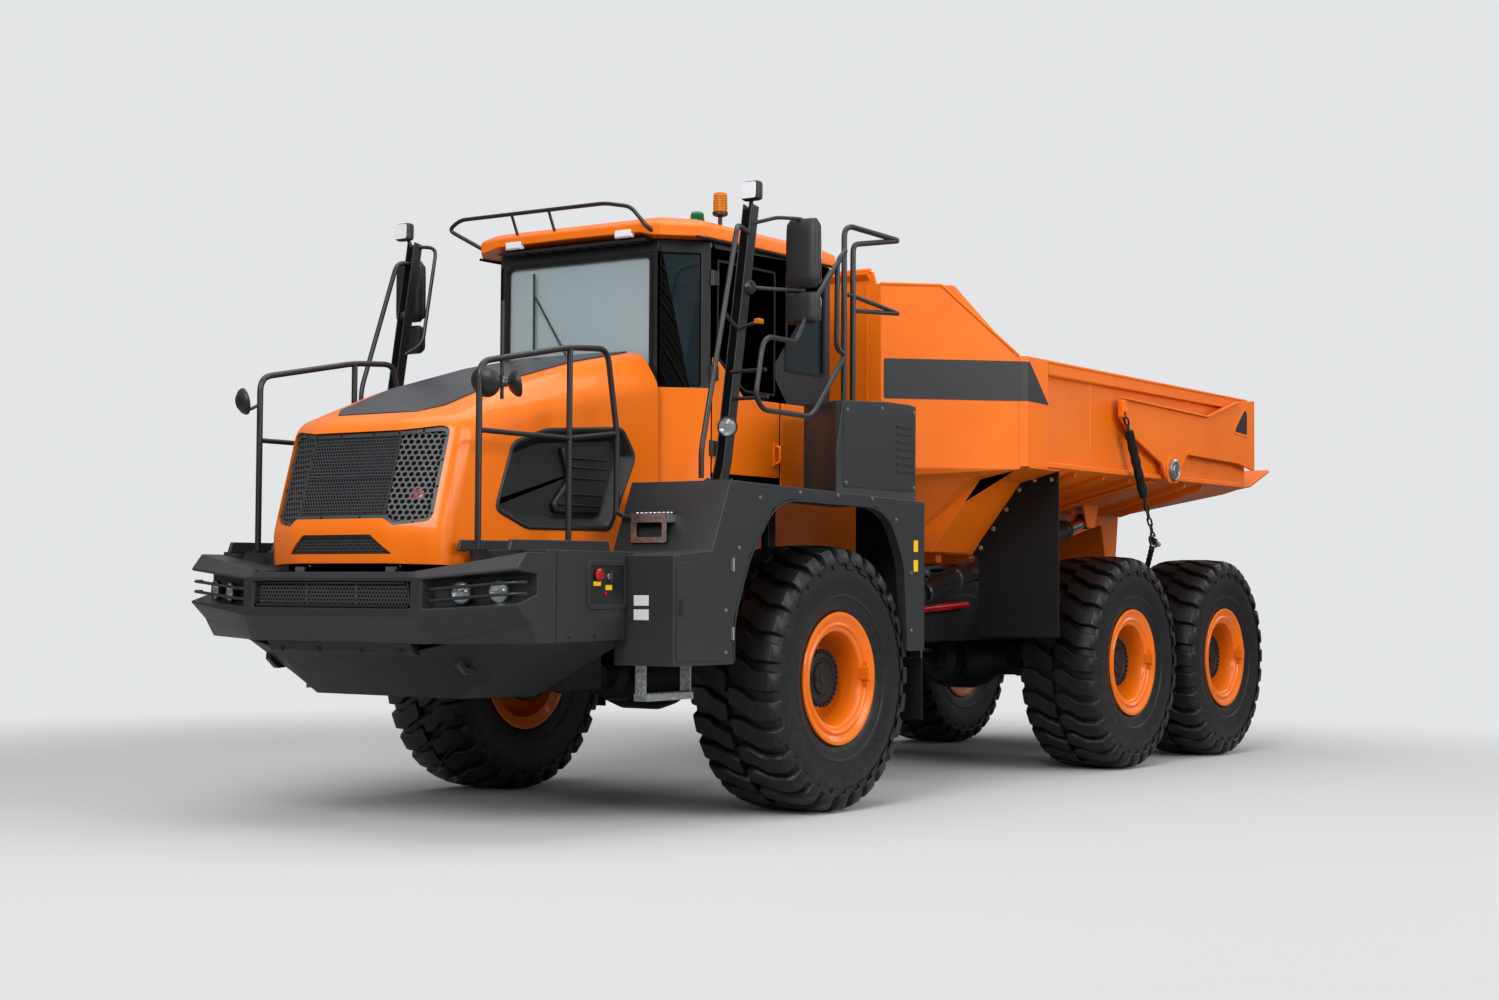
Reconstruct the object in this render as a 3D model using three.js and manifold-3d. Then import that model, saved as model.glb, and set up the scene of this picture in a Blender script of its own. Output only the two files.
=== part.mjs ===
import * as THREE from 'three';
import { mergeVertices } from 'three/addons/utils/BufferGeometryUtils.js';
import Module from 'manifold-3d';

const wasm = await Module();
wasm.setup();

// Sizes in millimetres. X forward from the front axle, Y to the left, Z up from the ground.
const tyreRadius = 785;
const tyreHalfWidth = 295;
const rimRadius = 335;
const wheelSegments = 24;
const wheelOffset = 1185;
const wheelBase = 4025;
const tandemGap = 1730;
const touch = 0.3;
const hitchBack = 1290;
const hitchHeight = 900;
const railInner = 330;
const railOuter = 430;
const railBottom = 960;
const railTop = 1180;
const bumperFront = 2690;
const bumperHalf = 1185;
const bumperBottom = 1005;
const bumperTop = 1385;
const sideBoxTop = 1480;
const bonnetHalf = 630;
const bonnetWall = 15;
const cabFront = 660;
const cabBack = 870;
const cabHalf = 815;
const cabFloor = 1880;
const cabTop = 3340;
const cabWall = 40;
const cabNose = 600;
const doorFront = 425;
const doorBack = 295;
const doorBottom = 1960;
const doorTop = 3290;
const doorGap = 6;
const doorSweepGap = 14;
const roofTop = 3470;
const railX = 790;
const fenderOuter = 1490;
const sideBoxRise = 545;
const postY = 1288;
const postTopX = 709;
const mirrorX = 510;
const mirrorY = 1515;
const deckZ = 1885;
const bedHalf = 1440;
const bedWall = 20;
const bedTop = 2860;
const crestZ = 3336;
const bedShelf = 2150;
const troughHalf = 430;
const troughKnee = 560;
const troughKneeZ = 1900;
const floorZ = 1560;
const bedFront = 1600;
const bedNoseHalf = 745;
const cheekHalf = 754;
const cheekKneeGap = 301;
const cheekBack = 2849;
const bedCorner = 2270;
const bedOverhang = 2165;
const chuteOverhang = 2755;
const chuteEndZ = 2300;
const dumpPivotBack = 2125;
const dumpPivotZ = 1480;
const dumpBaseX = 2100;
const dumpBaseZ = 1250;
const dumpEyeBack = 675;
const dumpEyeZ = 1840;
const dumpY = 720;
const gatePivotBack = 558;
const gatePivotZ = 2212;
const gateArmGap = 43;
const gateClear = 8;
const armPlate = 24;
const chainFootBack = 1205;
const chainFootY = 1000;
const chainFootZ = 1440;
const steerBaseX = 2090;
const steerBaseY = 480;
const steerEyeX = 1230;
const steerEyeY = 230;
const steerZ = 790;

const boreGap = 5;

const axleHeight = tyreRadius * Math.cos(Math.PI / wheelSegments);
const tandemMiddle = wheelBase + tandemGap / 2;
const boxTop = deckZ + sideBoxRise;
const bedEnd = wheelBase + bedOverhang;
const chuteEnd = wheelBase + chuteOverhang;
const dumpPivotX = wheelBase + dumpPivotBack;
const dumpEyeX = wheelBase + dumpEyeBack;
const gatePivotX = wheelBase + gatePivotBack;
const gateArmY = bedHalf + gateArmGap;
const chainFootX = wheelBase + chainFootBack;

function solidOf(geometry) {
  let flat = geometry.index ? geometry.toNonIndexed() : geometry.clone();
  flat.deleteAttribute('normal');
  flat.deleteAttribute('uv');
  flat = mergeVertices(flat, 1e-3);
  const vertProperties = new Float32Array(flat.attributes.position.array);
  const triVerts = new Uint32Array(flat.index.array);
  return new wasm.Manifold(new wasm.Mesh({ numProp: 3, vertProperties, triVerts }));
}

function geometryOf(solid) {
  const mesh = solid.getMesh();
  const geometry = new THREE.BufferGeometry();
  geometry.setAttribute('position', new THREE.BufferAttribute(new Float32Array(mesh.vertProperties), 3));
  geometry.setIndex(new THREE.BufferAttribute(new Uint32Array(mesh.triVerts), 1));
  geometry.computeVertexNormals();
  return geometry;
}

function box(x0, x1, y0, y1, z0, z1) {
  const geometry = new THREE.BoxGeometry(x1 - x0, y1 - y0, z1 - z0);
  geometry.translate((x0 + x1) / 2, (y0 + y1) / 2, (z0 + z1) / 2);
  return solidOf(geometry);
}

function prism(points, depth) {
  const shape = new THREE.Shape(points.map(([a, b]) => new THREE.Vector2(a, b)));
  return new THREE.ExtrudeGeometry(shape, { depth, bevelEnabled: false, curveSegments: 8 });
}

// Side profile (x, z) drawn through y0..y1.
function sideProfile(points, y0, y1) {
  const geometry = prism(points, y1 - y0);
  geometry.rotateX(Math.PI / 2);
  geometry.translate(0, y1, 0);
  return solidOf(geometry);
}

// Cross profile (y, z) drawn through x0..x1.
function crossProfile(points, x0, x1) {
  const geometry = prism(points, x1 - x0);
  geometry.applyMatrix4(new THREE.Matrix4().set(0, 0, 1, x0, 1, 0, 0, 0, 0, 1, 0, 0, 0, 0, 0, 1));
  return solidOf(geometry);
}

// Plan profile (x, y) drawn through z0..z1.
function planProfile(points, z0, z1) {
  const geometry = prism(points, z1 - z0);
  geometry.translate(0, 0, z0);
  return solidOf(geometry);
}

// Solid through rings of points, closed by a fan at each end.
function loft(rings) {
  const count = rings[0].length;
  const positions = rings.flat(2);
  const index = [];
  for (let ring = 0; ring + 1 < rings.length; ring += 1) {
    for (let k = 0; k < count; k += 1) {
      const a = ring * count + k;
      const b = ring * count + ((k + 1) % count);
      index.push(a, b, b + count, a, b + count, a + count);
    }
  }
  const last = (rings.length - 1) * count;
  for (let k = 1; k + 1 < count; k += 1) {
    index.push(0, k + 1, k);
    index.push(last, last + k, last + k + 1);
  }
  const geometry = new THREE.BufferGeometry();
  geometry.setAttribute('position', new THREE.Float32BufferAttribute(positions, 3));
  geometry.setIndex(index);
  const solid = solidOf(geometry);
  if (solid.volume() > 0) {
    return solid;
  }
  const flipped = [];
  for (let k = 0; k < index.length; k += 3) {
    flipped.push(index[k], index[k + 2], index[k + 1]);
  }
  geometry.setIndex(flipped);
  return solidOf(geometry);
}

function lathe(points, segments, axis) {
  const profile = points.map(([r, t]) => new THREE.Vector2(r, t));
  const geometry = new THREE.LatheGeometry(profile, segments, Math.PI / segments);
  if (axis === 'x') {
    geometry.rotateZ(-Math.PI / 2);
  }
  if (axis === 'z') {
    geometry.rotateX(Math.PI / 2);
  }
  const solid = solidOf(geometry);
  return solid.volume() > 0 ? solid : solidOf(turned(geometry));
}

function turned(geometry) {
  const index = Array.from(geometry.index.array);
  for (let k = 0; k < index.length; k += 3) {
    [index[k + 1], index[k + 2]] = [index[k + 2], index[k + 1]];
  }
  geometry.setIndex(index);
  return geometry;
}

function disc(radius, t0, t1, axis, x, y, z, segments = 16) {
  return lathe([[0, t0], [radius, t0], [radius, t1], [0, t1]], segments, axis).translate(x, y, z);
}

// Round bar from a to b.
function bar(a, b, radius, segments = 8) {
  const from = new THREE.Vector3(...a);
  const to = new THREE.Vector3(...b);
  const length = from.distanceTo(to);
  const geometry = new THREE.CylinderGeometry(radius, radius, length, segments);
  const spin = new THREE.Quaternion().setFromUnitVectors(
    new THREE.Vector3(0, 1, 0), to.clone().sub(from).normalize());
  geometry.applyQuaternion(spin);
  geometry.translate((a[0] + b[0]) / 2, (a[1] + b[1]) / 2, (a[2] + b[2]) / 2);
  return solidOf(geometry);
}

function join(...solids) {
  return solids.reduce((all, next) => all.add(next));
}

// Bent tube through a list of points.
function tube(points, radius, segments = 6) {
  const pieces = [];
  for (let k = 0; k + 1 < points.length; k += 1) {
    pieces.push(bar(points[k], points[k + 1], radius, segments));
  }
  for (let k = 1; k + 1 < points.length; k += 1) {
    const knee = new THREE.IcosahedronGeometry(radius * 1.15, 0);
    knee.translate(...points[k]);
    pieces.push(solidOf(knee));
  }
  return join(...pieces);
}

function mirrored(solid) {
  return solid.mirror([0, 1, 0]);
}

const group = new THREE.Group();

function add(name, solid, color, metalness = 0.3, roughness = 0.5) {
  const material = new THREE.MeshStandardMaterial({ color, metalness, roughness });
  const mesh = new THREE.Mesh(geometryOf(solid), material);
  mesh.name = name;
  group.add(mesh);
}

const orange = 0xe8660c;
const grey = 0x3c3d40;
const black = 0x18181a;
const steel = 0xa9adb0;
const glassTint = 0x2c3a42;

// Wheels

function tyre(x, y) {
  const h = tyreHalfWidth;
  return lathe([
    [rimRadius + 1, -238], [rimRadius + 55, -240], [540, -h], [700, -278], [tyreRadius, -215],
    [tyreRadius, 215], [700, 278], [540, h], [rimRadius + 55, 240], [rimRadius + 1, 238],
    [rimRadius + 1, -238],
  ], wheelSegments, 'y').translate(x, y, axleHeight);
}

function rim(x, y, side) {
  const profile = [
    [0, -60], [300, -60], [310, -258], [385, -258], [rimRadius + 0.7, -238.4],
    [rimRadius + 0.7, 238.4], [385, 258], [310, 258], [270, 60], [150, 60], [150, 120], [0, 120],
  ];
  const solid = lathe(profile, wheelSegments, 'y');
  return (side > 0 ? solid : solid.mirror([0, 1, 0])).translate(x, y, axleHeight);
}

const wheelRows = [['front', 0], ['middle', -wheelBase], ['rear', -wheelBase - tandemGap]];
for (const [row, x] of wheelRows) {
  for (const [name, side] of [['left', 1], ['right', -1]]) {
    add(`tyre_${row}_${name}`, tyre(x, side * wheelOffset), black, 0, 0.9);
    add(`rim_${row}_${name}`, rim(x, side * wheelOffset, side), orange);
  }
}

// Axles

const axleEnd = wheelOffset - 60 - touch;

function axle(x) {
  return lathe([
    [0, -axleEnd], [220, -axleEnd], [220, -960], [120, -940], [120, -300], [240, -180],
    [240, 180], [120, 300], [120, 940], [220, 960], [220, axleEnd], [0, axleEnd],
  ], 16, 'y').translate(x, 0, axleHeight);
}

add('front_axle', axle(0), black, 0.4, 0.6);

const axleFlat = axleHeight + 120 * Math.cos(Math.PI / 16);

// Front unit frame

function frontFrame() {
  const parts = [];
  for (const side of [-1, 1]) {
    const y0 = side > 0 ? railInner : -railOuter;
    parts.push(box(-1000, 2330, y0, y0 + railOuter - railInner, railBottom, railTop));
    parts.push(box(-90, 90, y0, y0 + railOuter - railInner, axleFlat + touch, railBottom + 20));
  }
  parts.push(box(2250, 2330, -railOuter, railOuter, railBottom, railTop));
  parts.push(box(-560, -420, -railOuter, railOuter, railBottom, railBottom + 60));
  parts.push(box(-1000, -960, -railOuter, railOuter, railBottom, railTop));
  parts.push(box(-1000, -960, -180, 180, 700, railTop));
  parts.push(disc(170, -1040, -990, 'x', 0, 0, hitchHeight));
  return join(...parts);
}

add('front_frame', frontFrame(), grey);
add('engine', box(900, 2150, -railInner + touch, railInner - touch, 1000, 1900), grey);
add('transmission', box(-400, 900 - touch, -260, 260, 1040, 1500), grey);

function bellyGuard() {
  return join(
    box(950, 2240, -railOuter, railOuter, 720, 735),
    box(950, 2240, -railOuter, -railOuter + 15, 720, railBottom - touch),
    box(950, 2240, railOuter - 15, railOuter, 720, railBottom - touch),
  );
}

add('belly_guard', bellyGuard(), grey);

// Bumper

function bumper() {
  const wingX = 2480;
  const wingY = 1110;
  const sideX = 2270;
  const half = 630;
  const outer = [
    [bumperFront, -half], [bumperFront, half], [wingX, wingY], [sideX, bumperHalf], [sideX - 30, bumperHalf],
    [sideX - 30, bumperHalf - 30], [sideX, bumperHalf - 35], [wingX - 20, wingY - 30],
    [bumperFront - 35, half - 20], [bumperFront - 35, 20 - half], [wingX - 20, 30 - wingY],
    [sideX, 35 - bumperHalf], [sideX - 30, 30 - bumperHalf], [sideX - 30, -bumperHalf], [sideX, -bumperHalf],
    [wingX, -wingY],
  ];
  const lid = [
    [bumperFront - 5, -half], [bumperFront - 5, half], [wingX, wingY - 5], [2345, 1140], [2345, -1140],
    [wingX, 5 - wingY],
  ];
  let shell = join(
    planProfile(outer, bumperBottom, bumperTop),
    planProfile(lid, bumperBottom, bumperBottom + 15),
    planProfile(lid, bumperTop - 20, bumperTop),
    box(2330 + touch, 2360, -1140, 1140, bumperBottom - 40, bumperTop - 5),
  );
  shell = shell.subtract(box(2600, 2800, -560, 560, 1165, 1335));
  for (const side of [-1, 1]) {
    const lamp = planProfile([[2700, 720], [2300, 640], [2300, 1060], [2560, 1120]], 1200, 1335);
    shell = shell.subtract(side > 0 ? lamp : mirrored(lamp));
  }
  for (const side of [-1, 1]) {
    let sideBox = join(
      box(1700, 2262, 1010, bumperHalf, bumperBottom, sideBoxTop),
      planProfile([[1700, 660], [2480, 660], [2480, 1105], [2262, bumperHalf], [1700, bumperHalf]],
        sideBoxTop - 20, sideBoxTop),
      box(2330 + touch, 2360, 660, 1100, bumperTop - 30, sideBoxTop - 5),
    );
    sideBox = sideBox.subtract(box(1720, 2240, 990, bumperHalf - 20, bumperBottom + 20, sideBoxTop - 20));
    shell = shell.add(side > 0 ? sideBox : mirrored(sideBox));
    let hook = sideProfile([[2250, 1015], [2440, 1015], [2440, 890], [2390, 850], [2300, 860]], 670, 710);
    hook = hook.subtract(disc(32, 600, 760, 'y', 2376, 0, 920, 12));
    shell = shell.add(side > 0 ? hook : mirrored(hook));
  }
  return shell;
}

add('bumper', bumper(), grey);

// Bonnet, a tilting shell over the engine

function bonnetRings(inset, bottom, backX, frontX) {
  const ring = (xb, zb, xs, zs, xt, zt, w, wt) => [
    [xb, -(w - inset), zb], [xs, -(w - inset), zs - inset * 0.6], [xt, -(wt - inset * 0.6), zt - inset],
    [xt, wt - inset * 0.6, zt - inset], [xs, w - inset, zs - inset * 0.6], [xb, w - inset, zb],
  ];
  const half = bonnetHalf;
  return [
    ring(backX, bottom(1490), backX, 2480, backX, 2685, half, 500),
    ring(1209, bottom(1470), 1209, 2390, 1209, 2578, half - 5, 480),
    ring(1857, bottom(1440), 1857, 2240, 1857, 2400, half - 15, 460),
    ring(2400 - inset, bottom(1410), 2385 - inset, 2080, 2370 - inset, 2190, half - 22, 450),
    ring(2565 - inset, bottom(1400), 2620 - inset, 1580, 2625 - inset, 1640, half - 30, 470),
  ];
}

function bonnet() {
  let shell = loft(bonnetRings(0, (z) => z, 690, 0));
  shell = shell.subtract(loft(bonnetRings(bonnetWall, () => 1200, 600, 0)));
  const radiatorGap = [[600, 1300], [860, 1300], [860, 1517], [690, 1870], [600, 1870]];
  shell = shell.subtract(sideProfile(radiatorGap, -900, 900));
  shell = shell.subtract(crossProfile([[-430, 1690], [430, 1690], [455, 2090], [380, 2130],
    [-380, 2130], [-455, 2090]], 2250, 2800));
  return shell;
}

add('bonnet', bonnet(), orange);

function grille() {
  const panel = crossProfile([[-429, 1691], [429, 1691], [454, 2089], [379, 2129],
    [-379, 2129], [-454, 2089]], 2250, 2800);
  const front = loft(bonnetRings(4, () => 1200, 600, 0));
  const back = loft(bonnetRings(14, () => 1100, 500, 0));
  return panel.intersect(front).subtract(back);
}

add('grille', grille(), black, 0.1, 0.7);

// Cab

function cabOutline(inset) {
  const x = cabFront - inset;
  const n = cabNose - inset * 0.5;
  const y = cabHalf - inset;
  const back = -cabBack + inset;
  return [[x, -n], [x, n], [doorFront + 5, y], [back, y], [back, -y], [doorFront + 5, -y]];
}

function cabShell() {
  let shell = planProfile(cabOutline(0), cabFloor, cabTop);
  shell = shell.subtract(planProfile(cabOutline(cabWall), cabFloor + cabWall, cabTop + 10));
  shell = shell.subtract(box(cabFront - 60, cabFront + 60, -555, 555, 2480, 3260));
  shell = shell.subtract(box(-doorBack, doorFront, cabHalf - 60, cabHalf + 20, doorBottom, doorTop));
  shell = shell.subtract(box(-800, -360, cabHalf - 60, cabHalf + 20, 2640, 3250));
  shell = shell.subtract(box(-800, 380, -cabHalf - 20, -cabHalf + 60, 2300, 3250));
  shell = shell.subtract(box(-cabBack - 20, -cabBack + 60, -640, 640, 2640, 3250));
  const slot = planProfile([[610, 560], [700, 640], [520, 840], [450, 740]], 2480, 3260);
  return shell.subtract(slot).subtract(mirrored(slot));
}

add('cab_shell', cabShell(), grey);

function cabRoof() {
  const plan = (inset) => [
    [770 - inset * 2, -(700 - inset)], [770 - inset * 2, 700 - inset], [560, 848 - inset],
    [-880 + inset, 848 - inset], [-880 + inset, -(848 - inset)], [560, -(848 - inset)],
  ];
  const at = (points, z) => points.map(([x, y]) => [x, y, z]);
  return join(
    loft([at(plan(0), cabTop + touch), at(plan(0), roofTop - 60), at(plan(60), roofTop)]),
    roofRail(),
    beacon(67, 230),
    beacon(303, 80),
  );
}

// Branch guard in front of the roof, its two ends let into the roof's front edge
function roofRail() {
  const foot = cabTop + 25;
  const top = roofTop + 90;
  return tube([[735, -660, foot], [railX, -930, top - 55], [railX, -830, top], [railX, 300, top],
    [railX, 490, top - 40], [railX, 610, foot + 30], [735, 640, foot]], 13);
}

function beacon(x, height) {
  return lathe([[0, -30], [48, -30], [48, height], [0, height]], 12, 'z').translate(x, 618, roofTop);
}

add('cab_roof', cabRoof(), orange);
add('windshield', box(cabFront - 26, cabFront - 18, -555 + touch, 555 - touch, 2480 + touch, 3260 - touch),
  glassTint, 0, 0.1);
add('side_window', box(-800 + touch, 380 - touch, -cabHalf + 14, -cabHalf + 22, 2300 + touch, 3250 - touch),
  glassTint, 0, 0.1);
add('rear_window', box(-cabBack + 14, -cabBack + 22, -640 + touch, 640 - touch, 2640 + touch, 3250 - touch),
  glassTint, 0, 0.1);
add('quarter_window', box(-800 + touch, -360 - touch, cabHalf - 22, cabHalf - 14, 2640 + touch, 3250 - touch),
  glassTint, 0, 0.1);

function seat() {
  return join(
    box(-420, -80, -200, 200, cabFloor + cabWall + touch, 2200),
    box(-470, 30, -260, 260, 2200, 2340),
    sideProfile([[-450, 2330], [-330, 2330], [-470, 3000], [-580, 3000]], -240, 240),
  );
}

add('seat', seat(), black, 0, 0.9);

function dashboard() {
  return join(
    box(400, 560, -450, 450, cabFloor + cabWall + touch, 2560),
    tube([[430, 0, 2300], [330, 0, 2560], [240, 0, 2680]], 35),
    disc(215, -14, 14, 'z', 0, 0, 0, 16).rotate([0, -38, 0]).translate(240, 0, 2680),
  );
}

add('dashboard', dashboard(), black, 0.1, 0.7);

// Door, hinged along its front edge

function cabDoor() {
  const y0 = cabHalf - cabWall;
  let door = box(-doorBack + doorGap, doorFront - doorGap, y0, cabHalf,
    doorBottom + doorGap, doorTop - doorGap);
  door = door.subtract(sideProfile([[365, 2660], [365, 3230], [-235, 3230], [-235, 2480], [80, 2480]],
    y0 - 20, cabHalf + 20));
  return door;
}

add('cab_door', cabDoor(), orange);
add('door_glass', sideProfile([[365 - touch, 2660 + touch], [365 - touch, 3230 - touch],
  [-235 + touch, 3230 - touch], [-235 + touch, 2480 + touch], [80 - touch, 2480 + touch]],
cabHalf - 24, cabHalf - 16), glassTint, 0, 0.1);

// Fenders with side boxes

function fender() {
  const skirtY = fenderOuter - 25;
  const deckLine = (x) => deckZ - (1180 - x) * 45 / 2085;
  const skirt = sideProfile([
    [1180, deckZ], [1345, sideBoxTop + 20], [1690, sideBoxTop - 10], [1690, 890], [1140, 890], [1140, 1130],
    [990, 1480], [770, 1740], [600, 1800], [-330, 1790], [-505, 1708], [-655, 1462], [-700, 925], [-905, 925],
    [-905, deckLine(-905)],
  ], skirtY, fenderOuter);
  const deck = sideProfile([
    [1180, deckZ], [1345, sideBoxTop + 20], [1690, sideBoxTop - 10], [1690, sideBoxTop - 30],
    [1330, sideBoxTop - 2], [1166, deckZ - 25],
    [-905, deckLine(-905) - 22], [-905, deckLine(-905)],
  ], cabHalf + 1, skirtY + 5);
  return join(
    skirt,
    deck,
    box(1665, 1690, 1100, skirtY + 5, 890, sideBoxTop - 20),
    box(1140, 1690, 1100, skirtY + 5, 890, 910),
    box(1140, 1160, 1100, skirtY + 5, 890, 1100),
    box(1140, 1690, 1100, 1120, 890, sideBoxTop - 20),
    box(-905, -885, 1000, skirtY + 5, 925, deckLine(-905) - 10),
    box(-180, -100, railOuter + touch, 870, 1100, 1150),
    box(-180, -100, cabHalf + 1, 870, 1100, deckLine(-180) - 6),
    box(1100, 1180, railOuter + touch, 1140, 1000, 1050),
    box(1180, 1240, railOuter + touch, 1140, 1000, 1050),
  );
}

// Box behind the door, its front face kept outside the arc of the open door's edge.
function sideBox() {
  const profile = sideProfile(
    [[-40, boxTop - 20], [100, deckZ - 60], [-880, deckZ - 60], [-880, boxTop], [-500, boxTop]],
    1000, 1440);
  const reach = doorFront + doorBack + doorSweepGap;
  const sweep = disc(reach, doorBottom - 300, 2600, 'z', doorFront, cabHalf, 0, 48);
  return profile.subtract(sweep);
}

const fenderLeft = fender().add(sideBox());
add('fender_left', fenderLeft, grey);
add('fender_right', mirrored(fenderLeft), grey);

function steps() {
  const parts = [];
  for (const x of [1200, 1600]) {
    parts.push(sideProfile([[x, 889.7], [x + 14, 889.7], [x + 14, 700], [x, 700]], 1180, 1420));
  }
  parts.push(box(1200, 1614, 1180, 1420, 700, 725));
  return join(...parts);
}

add('steps_left', steps(), steel, 0.7, 0.4);
add('steps_right', mirrored(steps()), steel, 0.7, 0.4);

// Handrails, posts and mirrors

function handrail() {
  const y = 803;
  const foot = sideBoxTop + touch;
  return join(
    tube([[2440, y, foot], [2440, y, 2450], [1714, y, 2590], [1391, y, 2610], [1300, y, deckZ + 265],
      [1300, y, deckZ - 185]], 17),
    tube([[1714, y, foot], [1714, y, 2590]], 17),
    tube([[2440, y, 2100], [1714, y, 2100], [1300, y, deckZ + 265]], 15),
  );
}

add('handrail_left', handrail(), grey);
add('handrail_right', mirrored(handrail()), grey);

function mirrorPost() {
  const y = postY;
  return join(
    tube([[1000, y, deckZ - 3], [962, y, deckZ + 115], [postTopX, y, 3460]], 30),
    tube([[postTopX + 18, y, 3350], [mirrorX, mirrorY, 3360]], 14),
    tube([[postTopX + 78, y, 2990], [mirrorX, mirrorY, 2960]], 14),
    tube([[mirrorX, mirrorY, 2900], [mirrorX, mirrorY, 3100]], 14),
    box(mirrorX - 40, mirrorX + 40, mirrorY - 110, mirrorY + 105, 3000, 3390),
    box(mirrorX - 40, mirrorX + 40, mirrorY - 110, mirrorY + 105, 2795, 2975),
  );
}

const postCut = box(-1000, 1179, 1000, 1480, 1000, deckZ - 0.5 + touch);
add('mirror_post_left', mirrorPost().subtract(postCut), grey);
add('mirror_post_right', mirrored(mirrorPost().subtract(postCut)), grey);

function platformRail() {
  const y = 1339;
  const foot = boxTop - 60;
  const rail = join(
    tube([[-200, y, foot], [-200, y, 3440], [-260, y, 3475], [-840, y, 3465],
      [-300, y, 3370], [-300, y, foot]], 17),
    tube([[-300, y, 3060], [-840, y, 3010], [-300, y, 2970]], 14),
    tube([[-200, y, 3060], [-300, y, 3060]], 14),
  );
  return rail.subtract(sideBox().translate(0, 0, touch));
}

add('platform_rail', platformRail(), grey);

function exhaust() {
  return join(
    tube([[-960, -600, 1700], [-960, -600, 3150]], 75, 12),
    tube([[-960, -600, 3140], [-960, -600, 3280], [-1030, -600, 3380]], 55, 12),
    box(-985, -cabBack - touch, -640, -560, 2000, 2060),
  );
}

add('exhaust_stack', exhaust(), steel, 0.6, 0.4);

// Hitch: turns about X in the front frame, carries the upright steering pin

function hitch() {
  const lug = planProfile([[-1100, 100], [-1180, 100], [-steerEyeX - 50, steerEyeY - 20],
    [-steerEyeX - 50, steerEyeY + 45], [-steerEyeX + 30, steerEyeY + 45], [-1100, 150]], 0, 20);
  const lugs = [46, -66].map((z) => lug.translate(0, 0, steerZ + z));
  return join(
    ...lugs,
    ...lugs.map(mirrored),
    disc(170, -1100, -1040 - touch, 'x', 0, 0, hitchHeight),
    box(-1180, -1095, -150, 150, 640, 1160),
    planProfile([[-1180 + 20, -150], [-1180 + 20, 150], [-1350, 110], [-1400, 0], [-1350, -110]], 1090, 1160),
    planProfile([[-1180 + 20, -150], [-1180 + 20, 150], [-1350, 110], [-1400, 0], [-1350, -110]], 640, 710),
  );
}

add('hitch', hitch(), grey);

// Rear frame

function rearFrame() {
  const parts = [];
  parts.push(disc(95, 716, 1084, 'z', -hitchBack, 0, 0, 16));
  const neck = [[-hitchBack, 716], [-hitchBack, 1084], [-1450, 1084], [-1900, 1120], [-1900, 860]];
  parts.push(sideProfile(neck, -90, 90));
  parts.push(planProfile([[-1700, -90], [-1700, 90], [-1950, 420], [-1950, -420]], 880, 1110));
  for (const side of [-1, 1]) {
    const y0 = side > 0 ? 300 : -420;
    parts.push(sideProfile([[-1900, 880], [-1900, 1110], [-2400, 1240], [-dumpPivotX + 150, 1240],
      [-dumpPivotX + 90, dumpPivotZ + 80], [-dumpPivotX - 90, dumpPivotZ + 80], [-dumpPivotX - 150, 1150],
      [-dumpPivotX - 90, 930], [-1950, 930]].reverse(), y0, y0 + 120));
    const y1 = side > 0 ? steerBaseY - 140 : -steerBaseY - 50;
    parts.push(box(-steerBaseX - 90, -steerBaseX + 50, y1, y1 + 190, steerZ + 46, steerZ + 66));
    parts.push(box(-steerBaseX - 90, -steerBaseX + 50, y1, y1 + 190, steerZ - 66, steerZ - 46));
    parts.push(box(-steerBaseX - 90, -steerBaseX - 60, y1, y1 + 190, steerZ - 66, 940));
  }
  parts.push(box(-tandemMiddle - 110, -tandemMiddle + 110, -420, 420, 930, 1240));
  parts.push(box(-dumpPivotX - 90, -dumpPivotX + 50, -420, 420, 930, 1200));
  parts.push(tubeAcross(-dumpBaseX + 110, dumpBaseZ - 150, 55, dumpY + 90));
  parts.push(box(-2290, -2170, -420, 420, 1000, 1200));
  for (const side of [-1, 1]) {
    for (const edge of [-56, 56]) {
      const y = side * dumpY + edge;
      parts.push(sideProfile([[-1930, 1060], [-2040, 1040], [-2160, 1220], [-2140, 1310], [-2060, 1310],
        [-1930, 1160]], y - 10, y + 10));
    }
  }
  const barX = -chainFootX;
  const barZ = chainFootZ - 25;
  parts.push(box(barX - 18, barX + 22, -chainFootY - 30, chainFootY + 30, barZ - 40, barZ));
  for (const y of [-420, 300]) {
    parts.push(box(barX - 18, barX + 22, y, y + 120, 1230, barZ - 5));
  }
  return join(...parts);
}

function tubeAcross(x, z, radius, half) {
  return lathe([[0, -half], [radius, -half], [radius, half], [0, half]], 12, 'y').translate(x, 0, z);
}

add('rear_frame', rearFrame(), grey);

function bogie() {
  const parts = [axle(-wheelBase), axle(-wheelBase - tandemGap)];
  for (const side of [-1, 1]) {
    const y0 = side > 0 ? 480 : -600;
    parts.push(box(-wheelBase - tandemGap, -wheelBase, y0, y0 + 120, 690, 860));
  }
  parts.push(box(-tandemMiddle - 80, -tandemMiddle + 80, -600, 600, 740, 860));
  parts.push(box(-tandemMiddle - 70, -tandemMiddle + 70, -400, 400, 850, 930 - touch));
  return join(...parts);
}

add('rear_bogie', bogie(), black, 0.4, 0.6);

// Dump body

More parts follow.
